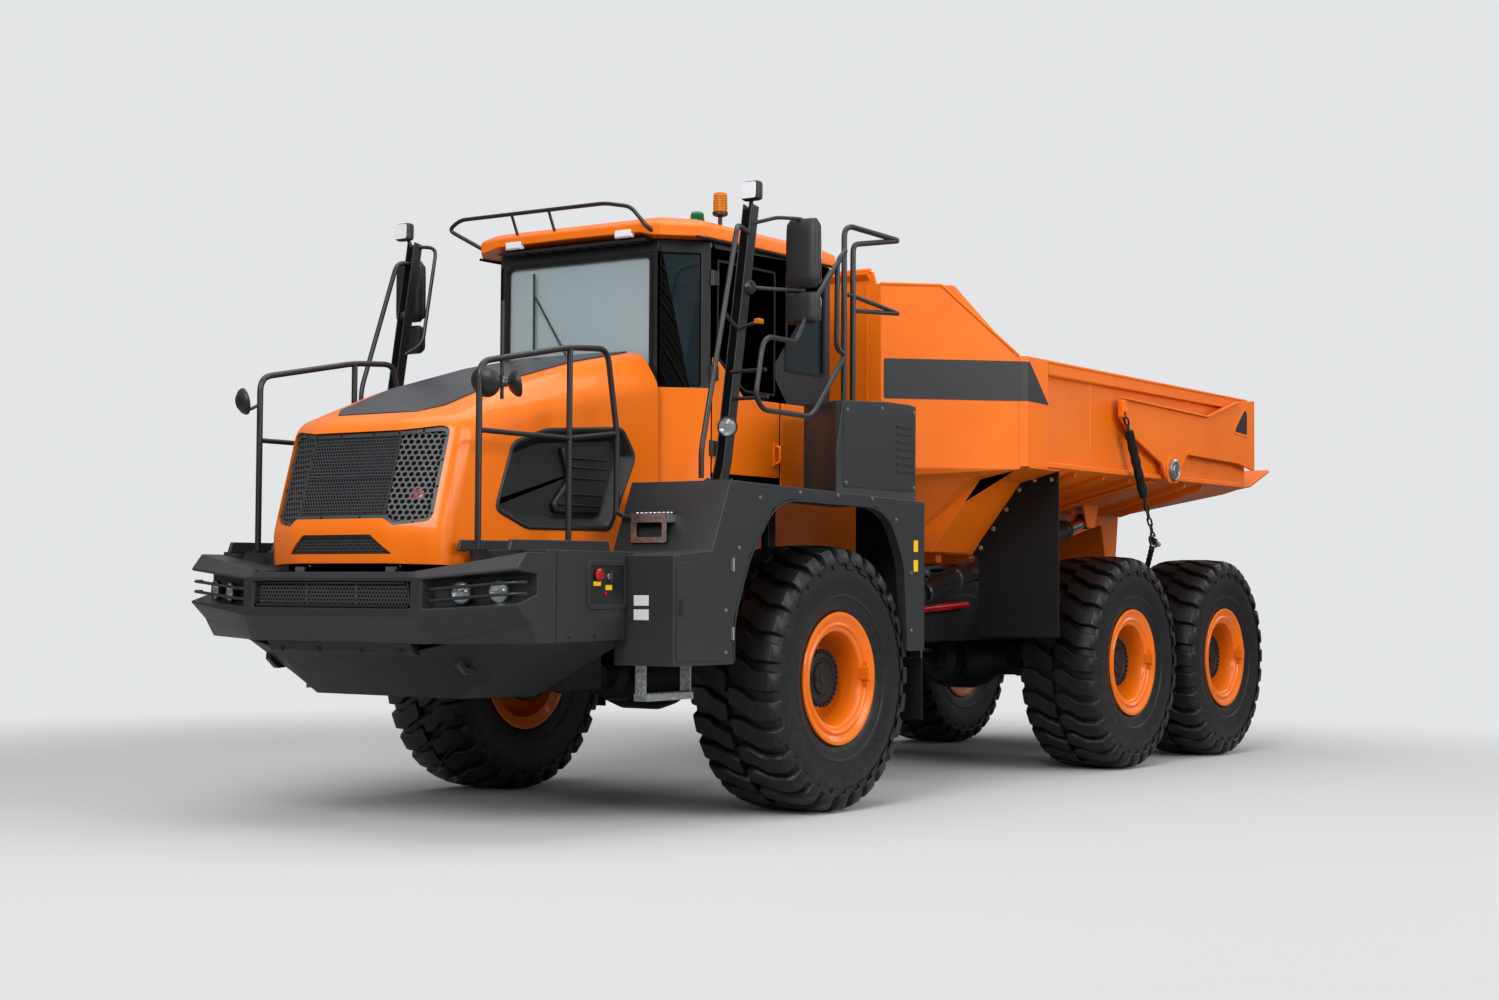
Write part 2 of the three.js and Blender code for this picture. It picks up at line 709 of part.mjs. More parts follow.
function bedSide() {
  const w = bedWall;
  let wall = crossProfile([
    [troughHalf, floorZ], [troughHalf - w, floorZ], [troughKnee - w, troughKneeZ + w * 0.7],
    [bedHalf - w, bedShelf + w * 0.7], [bedHalf - w, bedTop], [bedHalf, bedTop], [bedHalf, bedShelf],
    [troughKnee, troughKneeZ],
  ], -bedEnd, -bedCorner);
  wall = join(
    wall,
    box(-2605, -2330, bedHalf - 5, bedHalf + 35, 2120, bedTop),
    box(-bedEnd, -2600, bedHalf - 5, bedHalf + 30, bedTop - 90, bedTop),
    lathe([[0, 0], [70, 0], [70, 37], [0, 37]], 12, 'y').translate(-gatePivotX, bedHalf - 2, gatePivotZ),
  );
  wall = wall.subtract(sideProfile(underFloor(0), 0, 2000)).add(cheek());
  wall = wall.subtract(beyondGateArc());
  for (const edge of [-1, 1]) {
    const y = dumpY + edge * 56;
    wall = wall.add(sideProfile([[-dumpEyeX + 140, dumpEyeZ + 140], [-dumpEyeX - 140, dumpEyeZ + 140],
      [-dumpEyeX - 60, dumpEyeZ - 50], [-dumpEyeX + 60, dumpEyeZ - 50]], y - 10, y + 10));
  }
  return wall;
}

// Wide lower cheek behind the headboard, with its outer face sloping in to the floor
function cheek() {
  return crossProfile([
    [troughHalf - 5, floorZ], [cheekHalf, floorZ], [bedHalf - cheekKneeGap, bedShelf - 100],
    [bedHalf, bedShelf - 25], [bedHalf, bedShelf + 5], [troughKnee - 5, troughKneeZ + 5],
  ], -cheekBack, -bedCorner);
}

// What lies behind and above the arc that the tailgate panel's inner face sweeps about its pivot.
function beyondGateArc() {
  const radius = bedEnd + 8 - gatePivotX - gateClear;
  const points = [[-bedEnd - 500, gatePivotZ], [-gatePivotX - radius, gatePivotZ]];
  for (let k = 1; k <= 8; k += 1) {
    const angle = k * 0.065;
    points.push([-gatePivotX - radius * Math.cos(angle), gatePivotZ + radius * Math.sin(angle)]);
  }
  points.push([-bedEnd - 500, gatePivotZ + radius * Math.sin(0.52)]);
  return sideProfile(points, bedHalf - 200, bedHalf + 200);
}

function floorLine(lift) {
  return [[-bedCorner, floorZ + lift], [-wheelBase - 175, floorZ + lift],
    [-wheelBase - 1435, 1850 + lift], [-chuteEnd, chuteEndZ + lift]];
}

function overFloor(lift) {
  return [[-1000, floorZ + lift], ...floorLine(lift), [-8000, chuteEndZ + lift],
    [-8000, 5000], [-1000, 5000]];
}

function underFloor(lift) {
  return [[-1000, floorZ + lift], ...floorLine(lift), [-8000, chuteEndZ + lift], [-8000, 500], [-1000, 500]];
}

const bedLeft = bedSide();
add('bed_side_left', bedLeft, orange);
add('bed_side_right', mirrored(bedLeft), orange);

function bedFloor() {
  const profile = [...floorLine(0), ...floorLine(25).reverse()];
  const plate = sideProfile(profile, -1500, 1500);
  const w = bedWall + touch;
  const inside = crossProfile([
    [-troughHalf + w, 1400], [troughHalf - w, 1400], [troughHalf - w, floorZ],
    [troughKnee - w, troughKneeZ + 14.5],
    [bedHalf - w, bedShelf + 14.5], [bedHalf - w, 4000], [-bedHalf + w, 4000],
    [-bedHalf + w, bedShelf + 14.5],
    [-troughKnee + w, troughKneeZ + 14.5], [-troughHalf + w, floorZ],
  ], -8000, -bedCorner);
  const pivot = sideProfile([[-dumpPivotX + 250, 2010], [-dumpPivotX + 70, dumpPivotZ - 50],
    [-dumpPivotX - 70, dumpPivotZ - 50], [-dumpPivotX - 170, 2150]].reverse(), -270, 270);
  return join(plate.intersect(inside), pivot.subtract(sideProfile(overFloor(10), -1500, 1500)));
}

add('bed_floor', bedFloor(), orange);

function headboard() {
  const back = -bedCorner + touch;
  const ring = (front, nose, side, z) => [
    [front, -nose, z], [front, nose, z], [back, side, z], [back, -side, z],
  ];
  const inner = (front, nose, side, z) => [
    [front - 20, -nose + 14, z], [front - 20, nose - 14, z], [back, side - bedWall, z],
    [-2500, side - bedWall, z],
    [-2500, bedWall - side, z], [back, bedWall - side, z],
  ];
  const fold = bedShelf - 40;
  const cheekKnee = bedHalf - cheekKneeGap;
  const outerSolid = loft([
    ring(-2230, 500, cheekHalf, floorZ), ring(-1640, bedNoseHalf - 20, cheekKnee, bedShelf - 100),
    ring(-bedFront, bedNoseHalf, bedHalf, fold), ring(-bedFront, bedNoseHalf, bedHalf, 3520),
  ]);
  const innerSolid = loft([
    inner(-2215, 380, troughHalf, floorZ + 20), inner(-2000, 480, troughKnee, troughKneeZ + 14),
    inner(-bedFront, bedNoseHalf, bedHalf, fold + 14), inner(-bedFront, bedNoseHalf, bedHalf, 3600),
  ]);
  const half = bedHalf + 5;
  const crestLeft = [[half, bedTop], [bedHalf - 27, bedTop + 12], [bedHalf - 338, crestZ],
    [bedNoseHalf - 35, crestZ], [bedNoseHalf - 60, crestZ + 84]];
  const crestRight = crestLeft.map(([y, z]) => [-y, z]).reverse();
  const crest = crossProfile([[-half, 1500], [half, 1500], ...crestLeft, ...crestRight], -3000, -1500);
  return outerSolid.subtract(innerSolid).intersect(crest);
}

add('bed_headboard', headboard(), orange);

function mudflap() {
  const slope = (y) => troughKneeZ + (y - troughKnee) * (bedShelf - troughKneeZ) / (bedHalf - troughKnee);
  const outer = bedHalf - 10;
  const inner = outer - 625;
  const corner = outer - 320;
  return crossProfile(
    [[inner, 976], [outer, 976], [outer, slope(outer) - touch], [corner, slope(corner) - touch],
      [inner, 1680]],
    -cheekBack - 13, -cheekBack - touch);
}

add('mudflap_left', mudflap(), black, 0, 0.9);
add('mudflap_right', mirrored(mudflap()), black, 0, 0.9);

// Tailgate with its side arms, turning on the body sides

function tailgate() {
  const y0 = gateArmY;
  const back = gatePivotX - bedEnd - 50;
  const arm = sideProfile([
    [893, 488], [-653, 457], [-1233, 608], [back, 648], [back, 78], [back + 40, 78], [-1307, 118],
    [-307, 136], [-77, -72], [83, -72], [183, 50], [733, 234], [893, 348],
  ].reverse(), y0, y0 + armPlate).translate(-gatePivotX, 0, gatePivotZ);
  return join(
    arm,
    mirrored(arm),
    box(-bedEnd - 50, -bedEnd - 8, -y0 - armPlate, y0 + armPlate, gatePivotZ + 138, gatePivotZ + 638),
    box(-bedEnd - 50, -bedEnd - 8, 60 - bedHalf, bedHalf - 60, gatePivotZ + 18, gatePivotZ + 148),
  );
}

add('tailgate', tailgate(), orange);

function chain() {
  const y = gateArmY + armPlate + 22;
  return tube([[-gatePivotX + 883, y, gatePivotZ + 388], [-gatePivotX + 373, y, 1680],
    [-gatePivotX + 283, y - 60, 1620],
    [-chainFootX, chainFootY, chainFootZ]], 14);
}

add('chain_left', chain(), black, 0.5, 0.5);
add('chain_right', mirrored(chain()), black, 0.5, 0.5);

// Cylinders

function aim(from, to) {
  const d = new THREE.Vector3(to[0] - from[0], to[1] - from[1], to[2] - from[2]);
  return { length: d.length(), at: (t) => [from[0] + d.x * t / d.length(), from[1] + d.y * t / d.length(),
    from[2] + d.z * t / d.length()] };
}

function barrelAndRod(name, from, to, sizes, eyeAxis) {
  const line = aim(from, to);
  const neck = sizes.eye * 2;
  const bore = bar(line.at(neck + 20), line.at(sizes.barrel + 5), sizes.rodRadius + boreGap, 12);
  let barrel = join(
    bar(line.at(neck), line.at(sizes.barrel), sizes.radius, 12),
    disc(sizes.eye, -sizes.eyeHalf, sizes.eyeHalf, eyeAxis, ...from, 12),
    bar(line.at(0), line.at(neck + 5), sizes.eye * 0.6, 8),
  );
  barrel = barrel.subtract(bore);
  const rod = join(
    bar(line.at(sizes.rodStart), line.at(line.length), sizes.rodRadius, 12),
    disc(sizes.eye, -sizes.eyeHalf, sizes.eyeHalf, eyeAxis, ...to, 12),
  );
  add(`${name}_barrel`, barrel, black, 0.4, 0.5);
  add(`${name}_rod`, rod, steel, 0.9, 0.2);
}

for (const [name, side] of [['left', 1], ['right', -1]]) {
  barrelAndRod(`steer_${name}`,
    [-steerBaseX, side * steerBaseY, steerZ], [-steerEyeX, side * steerEyeY, steerZ],
    { barrel: 560, radius: 45, rodRadius: 24, rodStart: 330, eye: 38, eyeHalf: 38 }, 'z');
  barrelAndRod(`dump_${name}`, [-dumpBaseX, side * dumpY, dumpBaseZ], [-dumpEyeX, side * dumpY, dumpEyeZ],
    { barrel: 2350, radius: 72, rodRadius: 45, rodStart: 160, eye: 58, eyeHalf: 38 }, 'y');
}

const bounds = new THREE.Box3().setFromObject(group);
for (const mesh of group.children) {
  mesh.geometry.translate(-(bounds.min.x + bounds.max.x) / 2, 0, 0);
}

export default group;
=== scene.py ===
import math

import bmesh
import bpy
import numpy as np
from mathutils import Matrix, Vector


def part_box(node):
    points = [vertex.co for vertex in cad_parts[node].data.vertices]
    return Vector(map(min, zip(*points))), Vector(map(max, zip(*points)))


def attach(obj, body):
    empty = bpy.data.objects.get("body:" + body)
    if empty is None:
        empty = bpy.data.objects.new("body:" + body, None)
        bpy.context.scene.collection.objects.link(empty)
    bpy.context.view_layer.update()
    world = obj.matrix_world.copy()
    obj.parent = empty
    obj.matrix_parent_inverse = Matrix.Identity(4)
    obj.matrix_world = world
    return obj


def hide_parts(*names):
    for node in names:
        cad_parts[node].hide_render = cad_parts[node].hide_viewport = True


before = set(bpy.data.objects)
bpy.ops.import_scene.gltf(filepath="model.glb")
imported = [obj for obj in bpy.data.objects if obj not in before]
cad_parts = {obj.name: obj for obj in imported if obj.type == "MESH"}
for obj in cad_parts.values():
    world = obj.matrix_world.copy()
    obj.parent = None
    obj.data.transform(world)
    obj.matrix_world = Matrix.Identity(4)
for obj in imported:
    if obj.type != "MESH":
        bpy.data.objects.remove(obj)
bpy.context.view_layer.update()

# All shapes are worked out in millimetres from the front axle: x forward, y to the left, z up.
axleLow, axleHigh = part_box("front_axle")
axleX = 500 * (axleLow.x + axleHigh.x)
wheelHeight = 500 * (axleLow.z + axleHigh.z)
origin, forward, sideways, upward = (0, 0, 0), (1, 0, 0), (0, 1, 0), (0, 0, 1)
# A shape is a pair: points, and a list of face arrays with one row of point numbers a face.


def join(*shapes):
    points, faces, start = [], [], 0
    for verts, groups in shapes:
        points.append(verts)
        faces += [group + start for group in groups]
        start += len(verts)
    return np.concatenate(points), faces


def moved(shape, by):
    return shape[0] + np.asarray(by, float), shape[1]


def mirrored(shape):
    # y becomes -y, and every face is read backwards so that it still points outwards
    return shape[0] * [1, -1, 1], [group[:, ::-1] for group in shape[1]]


def bothSides(shape):
    return join(shape, mirrored(shape))


def loopQuads(first, second):
    # quads between two closed rows of point numbers of the same length
    return np.stack([first, np.roll(first, -1), np.roll(second, -1), second], 1)


def gridQuads(rows, columns, closed=False):
    # quads over a rows x columns grid of points, closed round the columns when asked
    index = np.arange(rows * columns).reshape(rows, columns)
    if closed:
        index = np.concatenate([index, index[:, :1]], 1)
    return np.stack([index[:-1, :-1], index[:-1, 1:], index[1:, 1:], index[1:, :-1]], -1).reshape(-1, 4)


def lay(flat, axis, level):
    # flat (a, b) points put on the plane where the given axis has one level
    flat = np.asarray(flat, float)
    return np.insert(flat, axis, level, axis=1)


def prism(outline, low, high, axis):
    # an outline in the two other axes, drawn from low to high along the axis, capped at both ends
    count = len(outline)
    near, far = np.arange(count), np.arange(count) + count
    points = np.concatenate([lay(outline, axis, low), lay(outline, axis, high)])
    return points, [loopQuads(near, far), near[None, ::-1], far[None]]


def rectangle(a0, a1, b0, b1):
    return [(a0, b0), (a1, b0), (a1, b1), (a0, b1)]


def slab(x0, x1, y0, y1, z0, z1):
    return prism(rectangle(x0, x1, y0, y1), z0, z1, 2)


def ribbon(outer, inner, place, low, high):
    # a band between two outlines with equal counts, from low to high, put in space by place(a, b, level)
    rows = [place(o[:, 0], o[:, 1], level) for level in (low, high)
            for o in (np.asarray(outer), np.asarray(inner))]
    index = [np.arange(len(outer)) + len(outer) * k for k in range(4)]
    pairs = [(0, 2), (3, 1), (2, 3), (1, 0)]
    return np.concatenate(rows), [loopQuads(index[a], index[b]) for a, b in pairs]


def openFrame(outer, inner, low, high, axis):
    # the same band on flat planes across one axis
    return ribbon(outer, inner, lambda a, b, level: lay(np.stack([a, b], -1), axis, level), low, high)


def inset(outline, by):
    # each corner of a convex outline moved inwards so that every side shifts by the same distance
    p = np.asarray(outline, float)
    along = np.roll(p, -1, 0) - p
    along /= np.linalg.norm(along, axis=1)[:, None]
    area = np.sum(p[:, 0] * np.roll(p[:, 1], -1) - np.roll(p[:, 0], -1) * p[:, 1])
    inward = np.stack([-along[:, 1], along[:, 0]], 1) * np.sign(area)
    before = np.roll(inward, 1, 0)
    return p + by * (inward + before) / (1 + np.sum(inward * before, 1))[:, None]


def rounded(outline, radius, steps=4):
    # each corner replaced by a short curve that starts and ends one radius from it
    p = np.asarray(outline, float)
    back, ahead = np.roll(p, 1, 0) - p, np.roll(p, -1, 0) - p
    reach = [np.linalg.norm(v, axis=1)[:, None] for v in (back, ahead)]
    a = p + back / reach[0] * np.minimum(radius, reach[0] * 0.45)
    b = p + ahead / reach[1] * np.minimum(radius, reach[1] * 0.45)
    t = np.linspace(0, 1, steps + 1)[None, :, None]
    curve = (1 - t) ** 2 * a[:, None] + 2 * t * (1 - t) * p[:, None] + t ** 2 * b[:, None]
    return curve.reshape(-1, p.shape[1])


def basis(direction):
    # two unit vectors square to a direction, and the direction itself as a unit vector
    w = np.asarray(direction, float)
    w = w / np.linalg.norm(w)
    side = np.array([0, 0, 1.0]) if abs(w[2]) < 0.9 else np.array([1.0, 0, 0])
    u = np.cross(side, w)
    u /= np.linalg.norm(u)
    return u, np.cross(w, u), w


def revolve(profile, centre, direction, steps=40):
    # profile rows (radius, along) turned about a direction through a centre: c + r cos a u + r sin a v + t w
    u, v, w = basis(direction)
    angle = np.linspace(0, 2 * math.pi, steps, endpoint=False)
    ring = np.cos(angle)[:, None] * u + np.sin(angle)[:, None] * v
    profile = np.asarray(profile, float)
    points = profile[:, :1, None] * ring[None] + profile[:, 1:, None] * w + np.asarray(centre, float)
    return points.reshape(-1, 3), [gridQuads(len(profile), steps, closed=True)]


def pin(radius, low, high, centre, direction, steps):
    # a plain round bar from low to high along a direction
    return revolve([(0, low), (radius, low), (radius, high), (0, high)], centre, direction, steps)


def bendPath(points, bend):
    # an open path with each inner corner replaced by a short curve
    p = np.asarray(points, float)
    if bend <= 0 or len(p) < 3:
        return p
    inner = p[1:-1]
    back, ahead = p[:-2] - inner, p[2:] - inner
    reach = [np.linalg.norm(v, axis=1)[:, None] for v in (back, ahead)]
    a = inner + back / reach[0] * np.minimum(bend, reach[0] * 0.48)
    b = inner + ahead / reach[1] * np.minimum(bend, reach[1] * 0.48)
    t = np.linspace(0, 1, 6)[None, :, None]
    curve = ((1 - t) ** 2 * a[:, None] + 2 * t * (1 - t) * inner[:, None] + t ** 2 * b[:, None]).reshape(-1,
                                                                                                         3)
    return np.concatenate([p[:1], curve, p[-1:]])


def carried(path):
    # frames carried along a path without twist: tangent, and two vectors square to it at each point
    tangent = np.gradient(path, axis=0)
    tangent /= np.linalg.norm(tangent, axis=1)[:, None]
    side = basis(tangent[0])[0]
    sides = []
    for t in tangent:
        side = side - t * np.dot(side, t)
        side /= np.linalg.norm(side)
        sides.append(side)
    sides = np.array(sides)
    return sides, np.cross(tangent, sides)


def pipe(points, radius, bend=60, sides=12):
    # a circle carried along a path with rounded bends, closed by flat ends
    path = bendPath(points, bend)
    u, v = carried(path)
    angle = np.linspace(0, 2 * math.pi, sides, endpoint=False)[None, :, None]
    widths = np.atleast_1d(np.asarray(radius, float))
    size = np.interp(np.linspace(0, 1, len(path)), np.linspace(0, 1, len(widths)), widths)[:, None, None]
    rings = path[:, None] + size * (np.cos(angle) * u[:, None] + np.sin(angle) * v[:, None])
    count = len(path) * sides
    first, last = np.arange(sides), np.arange(count - sides, count)
    return rings.reshape(-1, 3), [gridQuads(len(path), sides, closed=True), first[None, ::-1], last[None]]


def loft(rings):
    # a skin through rings of the same count, closed by a flat face at each end
    rings = np.asarray(rings, float)
    rows, count = rings.shape[:2]
    total = rows * count
    first, last = np.arange(count), np.arange(total - count, total)
    return rings.reshape(-1, 3), [gridQuads(rows, count, closed=True), first[None, ::-1], last[None]]


def shell(front, back):
    # two grids of points of the same size joined round their edges into a closed plate
    rows, columns = front.shape[:2]
    quads = gridQuads(rows, columns)
    index = np.arange(rows * columns).reshape(rows, columns)
    rim = np.concatenate([index[0], index[1:, -1], index[-1, -2::-1], index[-2:0:-1, 0]])
    points = np.concatenate([front.reshape(-1, 3), back.reshape(-1, 3)])
    return points, [quads, quads[:, ::-1] + rows * columns, loopQuads(rim, rim + rows * columns)]


def repeated(groups, times, step):
    # the same faces again and again, each time on the next lot of points
    starts = (np.arange(times) * step)[:, None, None]
    return [(starts + group[None]).reshape(-1, group.shape[1]) for group in groups]


def copies(shape, places):
    # the same small shape at many places, as one array sum
    verts, groups = shape
    places = np.asarray(places, float).reshape(-1, 3)
    points = (places[:, None] + verts[None]).reshape(-1, 3)
    return points, repeated(groups, len(places), len(verts))


def bolts(places, direction, across=18):
    # a washer with a hexagon head, standing along a direction at each place
    r = across / 2
    washer = revolve([(0, -1), (r * 1.5, -1), (r * 1.5, r * 0.28), (0, r * 0.28)], origin, direction, 10)
    head = revolve([(0, 0), (r, 0), (r, r * 0.9), (r * 0.8, r * 1.1), (0, r * 1.1)], origin, direction, 6)
    return copies(join(washer, head), places)


def honeycomb(inside, extent, pitch, web, place, depth):
    # hexagon cells in rows: each is a ring between a hexagon of the pitch and one smaller by the web,
    # kept where inside(a, b) holds, and put in space by place(a, b, level)
    rise = pitch * math.sqrt(3) / 2
    a0, a1, b0, b1 = extent
    row, column = np.meshgrid(np.arange(math.ceil((b1 - b0) / rise)), np.arange(math.ceil((a1 - a0) / pitch)))
    centreA = (a0 + (column + 0.5 * (row % 2)) * pitch).ravel()
    centreB = (b0 + row * rise).ravel()
    keep = inside(centreA, centreB)
    centreA, centreB = centreA[keep][:, None], centreB[keep][:, None]
    angle = np.radians(30 + 60 * np.arange(6))[None]
    outer, inner = pitch / math.sqrt(3), (pitch - web) / math.sqrt(3)
    rings = [place(centreA + r * np.cos(angle), centreB + r * np.sin(angle), level)
             for r, level in ((outer, 0), (inner, 0), (inner, depth), (outer, depth))]
    points = np.stack(rings, 1).reshape(-1, 3)
    hexagon = [np.arange(6) + 6 * k for k in range(4)]
    cell = np.concatenate([loopQuads(a, b) for a, b in zip(hexagon, hexagon[1:])])
    return points, repeated([cell], len(centreA), 24)


def linear(hexText, alpha=1.0):
    # an sRGB hex colour as linear light
    values = [int(hexText[k:k + 2], 16) / 255 for k in (1, 3, 5)]
    return [v / 12.92 if v <= 0.04045 else ((v + 0.055) / 1.055) ** 2.4 for v in values] + [alpha]


def addNode(tree, kind, inputs=None, **settings):
    node = tree.nodes.new("ShaderNode" + kind)
    for name, value in settings.items():
        setattr(node, name, value)
    for key, value in (inputs or {}).items():
        if isinstance(value, bpy.types.NodeSocket):
            tree.links.new(value, node.inputs[key])
        else:
            node.inputs[key].default_value = value
    return node


def surface(name, colour, shade, rough, spread=0.06, metal=0.0, coat=0.0, grainSize=3.0, grain=0.15,
            waveSize=260.0, wave=0.0, dust=0.0, ior=1.5, **extra):
    # the common recipe: two close colours blended by a broad noise, roughness that drifts with it,
    # fine grain and slow waves as bump (sizes in mm), and pale dust that gathers low down
    material = bpy.data.materials.new(name)
    material.use_nodes = True
    tree = material.node_tree
    shader = tree.nodes["Principled BSDF"]
    place = addNode(tree, "TexCoord").outputs["Object"]
    broad = addNode(tree, "TexNoise", {"Vector": place, "Scale": 1.7, "Detail": 5.0, "Roughness": 0.6})
    soft = addNode(tree, "MapRange", {"Value": broad.outputs[0], 1: 0.3, 2: 0.7})
    tint = addNode(tree, "Mix", {0: soft.outputs[0], 6: linear(colour), 7: linear(shade)}, data_type="RGBA")
    fine = addNode(tree, "TexNoise", {"Vector": place, "Scale": 1000 / grainSize / 2, "Detail": 2.0})
    base = tint.outputs[2]
    height = addNode(tree, "SeparateXYZ", {0: place}).outputs["Z"]
    low = addNode(tree, "MapRange", {"Value": height, 1: 1.5, 2: 0.0, 3: 0.0, 4: dust})
    speckle = addNode(tree, "TexNoise", {"Vector": place, "Scale": 22.0, "Detail": 8.0, "Roughness": 0.75})
    patch = addNode(tree, "MapRange", {"Value": speckle.outputs[0], 1: 0.45, 2: 0.75})
    amount = addNode(tree, "Math", {0: low.outputs[0], 1: patch.outputs[0]}, operation="MULTIPLY")
    if dust:
        base = addNode(tree, "Mix", {0: amount.outputs[0], 6: base, 7: linear("#8d8780")},
                       data_type="RGBA").outputs[2]
    roughness = addNode(tree, "MapRange", {"Value": broad.outputs[0], 1: 0.3, 2: 0.7, 3: rough - spread,
                                           4: rough + spread})
    slow = addNode(tree, "TexNoise", {"Vector": place, "Scale": 1000 / waveSize, "Detail": 1.0})
    first = addNode(tree, "Bump", {"Strength": wave, "Distance": 0.01, "Height": slow.outputs[0]})
    second = addNode(tree, "Bump", {"Strength": grain, "Distance": 0.001, "Height": fine.outputs[0],
                                    "Normal": first.outputs[0]})
    for key, value in {"Base Color": base, "Roughness": roughness.outputs[0], "Metallic": metal,
                       "Normal": second.outputs[0], "Coat Weight": coat, **extra}.items():
        if isinstance(value, bpy.types.NodeSocket):
            tree.links.new(value, shader.inputs[key])
        else:
            shader.inputs[key].default_value = value
    if not metal:
        shader.inputs["IOR"].default_value = ior
    return material


# Two-layer enamel sprayed on steel sheet: deep orange under a clear coat, slightly wavy in its reflections.
orangeEnamel = surface("orangeEnamel", "#ef7408", "#e86d06", 0.36, 0.05, coat=0.25, grain=0.05, grainSize=2.5,
                       wave=0.10, dust=0.06, **{"Coat Roughness": 0.06, "Specular IOR Level": 0.28})
# The same enamel on the load body, over plate that is less flat and slightly duller.
bodyEnamel = surface("bodyEnamel", "#ee7208", "#e66a06", 0.46, 0.06, coat=0.15, grain=0.08, grainSize=4.0,
                     wave=0.22, waveSize=420, dust=0.08,
                     **{"Coat Roughness": 0.2, "Specular IOR Level": 0.25})
# Dark grey satin enamel on the fenders, bumper and side boxes: soft wide highlights.
greyEnamel = surface("greyEnamel", "#2b2c2e", "#262729", 0.42, 0.06, grain=0.18, grainSize=1.6, wave=0.06,
                     dust=0.06, **{"Specular IOR Level": 0.38})
# Black satin enamel on tubes and posts.
blackEnamel = surface("blackEnamel", "#1a1b1d", "#141517", 0.38, 0.05, grain=0.10, grainSize=1.5, dust=0.05)
# Moulded ABS and polypropylene with a fine spark-eroded grain.
blackPlastic = surface("blackPlastic", "#17181a", "#101112", 0.48, 0.06, grain=0.35, grainSize=1.2)
# Powder coat on perforated sheet: mid grey, dry, catching light on every web.
meshCoat = surface("meshCoat", "#3c3e41", "#333538", 0.42, 0.05, grain=0.1, grainSize=1.5)
# Anti-glare paint on the bonnet's top: blue-grey, with a broad soft sheen.
panelCoat = surface("panelCoat", "#34363b", "#2e3034", 0.36, 0.04, grain=0.1, grainSize=1.5)
# Natural rubber sheet and hoses: dead black with a faint bloom.
sheetRubber = surface("sheetRubber", "#0b0b0c", "#101011", 0.72, 0.08, grain=0.25, grainSize=2.0, dust=0.06,
                      **{"Specular IOR Level": 0.3})
# Vulcanised tyre compound, new and dressed: near black with a broad soft shine.
tyreRubber = surface("tyreRubber", "#101012", "#0b0b0d", 0.46, 0.08, grain=0.30, grainSize=2.2, wave=0.05,
                     waveSize=60, dust=0.10, **{"Specular IOR Level": 0.36})
# Cast and fabricated steel under black chassis paint, with road dust.
chassisPaint = surface("chassisPaint", "#151617", "#101112", 0.52, 0.08, grain=0.4, grainSize=4.0, dust=0.12,
                       **{"Specular IOR Level": 0.35})
# Machined and oiled cast iron of hubs, pins and chain.
oiledIron = surface("oiledIron", "#3a3b3d", "#242526", 0.38, 0.10, metal=0.85, grain=0.35, grainSize=2.0)
# Hard chromium on ground piston rods: a clean mirror, slightly blue.
chromePlate = surface("chromePlate", "#c9ccd0", "#bfc3c8", 0.10, 0.03, metal=1.0, grain=0.0)
# Bright zinc-plated bolts and hinges.
zincPlate = surface("zincPlate", "#b9bbba", "#9d9f9d", 0.30, 0.08, metal=1.0, grain=0.2)
# Dark textured lining of the cab: vinyl and moulded trim.
cabLining = surface("cabLining", "#3a3d42", "#2e3136", 0.60, 0.06, grain=0.5, grainSize=2.0)
# Yellow polyester sign film.
yellowFilm = surface("yellowFilm", "#f2c800", "#e8bc00", 0.35, 0.04)
# White retro-reflective film and small type plates.
paleFilm = surface("paleFilm", "#d9dbdc", "#c8cacc", 0.35, 0.05)
# Red enamel on the safety bar and stop button.
redEnamel = surface("redEnamel", "#b3101c", "#9c0c17", 0.32, 0.05, coat=0.4)
# Coated abrasive on the treads: black grit in resin.
gritTape = surface("gritTape", "#232425", "#2d2e2f", 0.85, 0.05, grain=0.9, grainSize=3.0)


def galvanised():
    # hot-dip zinc on step sheet: a spangle of crystals about 14 mm across, each a little lighter or darker
    material = surface("galvanisedSteel", "#a6aaac", "#8f9496", 0.38, 0.08, metal=1.0, grain=0.1)
    tree = material.node_tree
    shader = tree.nodes["Principled BSDF"]
    place = addNode(tree, "TexCoord").outputs["Object"]
    spangle = addNode(tree, "TexVoronoi", {"Vector": place, "Scale": 70.0})
    grey = addNode(tree, "SeparateXYZ", {0: spangle.outputs["Color"]}).outputs["X"]
    tint = addNode(tree, "Mix", {0: grey, 6: linear("#9da1a3"), 7: linear("#c3c7c9")}, data_type="RGBA")
    tree.links.new(tint.outputs[2], shader.inputs["Base Color"])
    return material


zincSheet = galvanised()


def glassy(name, colour, rough=0.02, ior=1.5, transmission=1.0, **extra):
    material = surface(name, colour, colour, rough, 0.0, grain=0.0, ior=ior)
    shader = material.node_tree.nodes["Principled BSDF"]
    shader.inputs["Transmission Weight"].default_value = transmission
    for key, value in extra.items():
        shader.inputs[key.replace("_", " ")].default_value = value
    return material


# Green-blue tinted safety glass, flat and clean. The pale colour on the half that does not transmit is
# painted reflection; the tint of the transmitted light is real.
tintedGlassPaintedReflection = glassy("tintedGlassPaintedReflection", "#cddde2", 0.015, 1.45, 0.50)
# Darker privacy glass of the side and rear windows.
darkGlass = glassy("darkGlass", "#5d7480", 0.015, 1.45, 0.9)
# Clear polycarbonate lamp covers.
clearLens = glassy("clearLens", "#e8eef0", 0.06, 1.45, 0.85)
# Dyed polycarbonate domes and small lamps.
amberLens = glassy("amberLens", "#f08a10", 0.12, 1.5, 0.45)
greenLens = glassy("greenLens", "#0f8a50", 0.12, 1.5, 0.40)
redLens = glassy("redLens", "#c01818", 0.12, 1.5, 0.35)
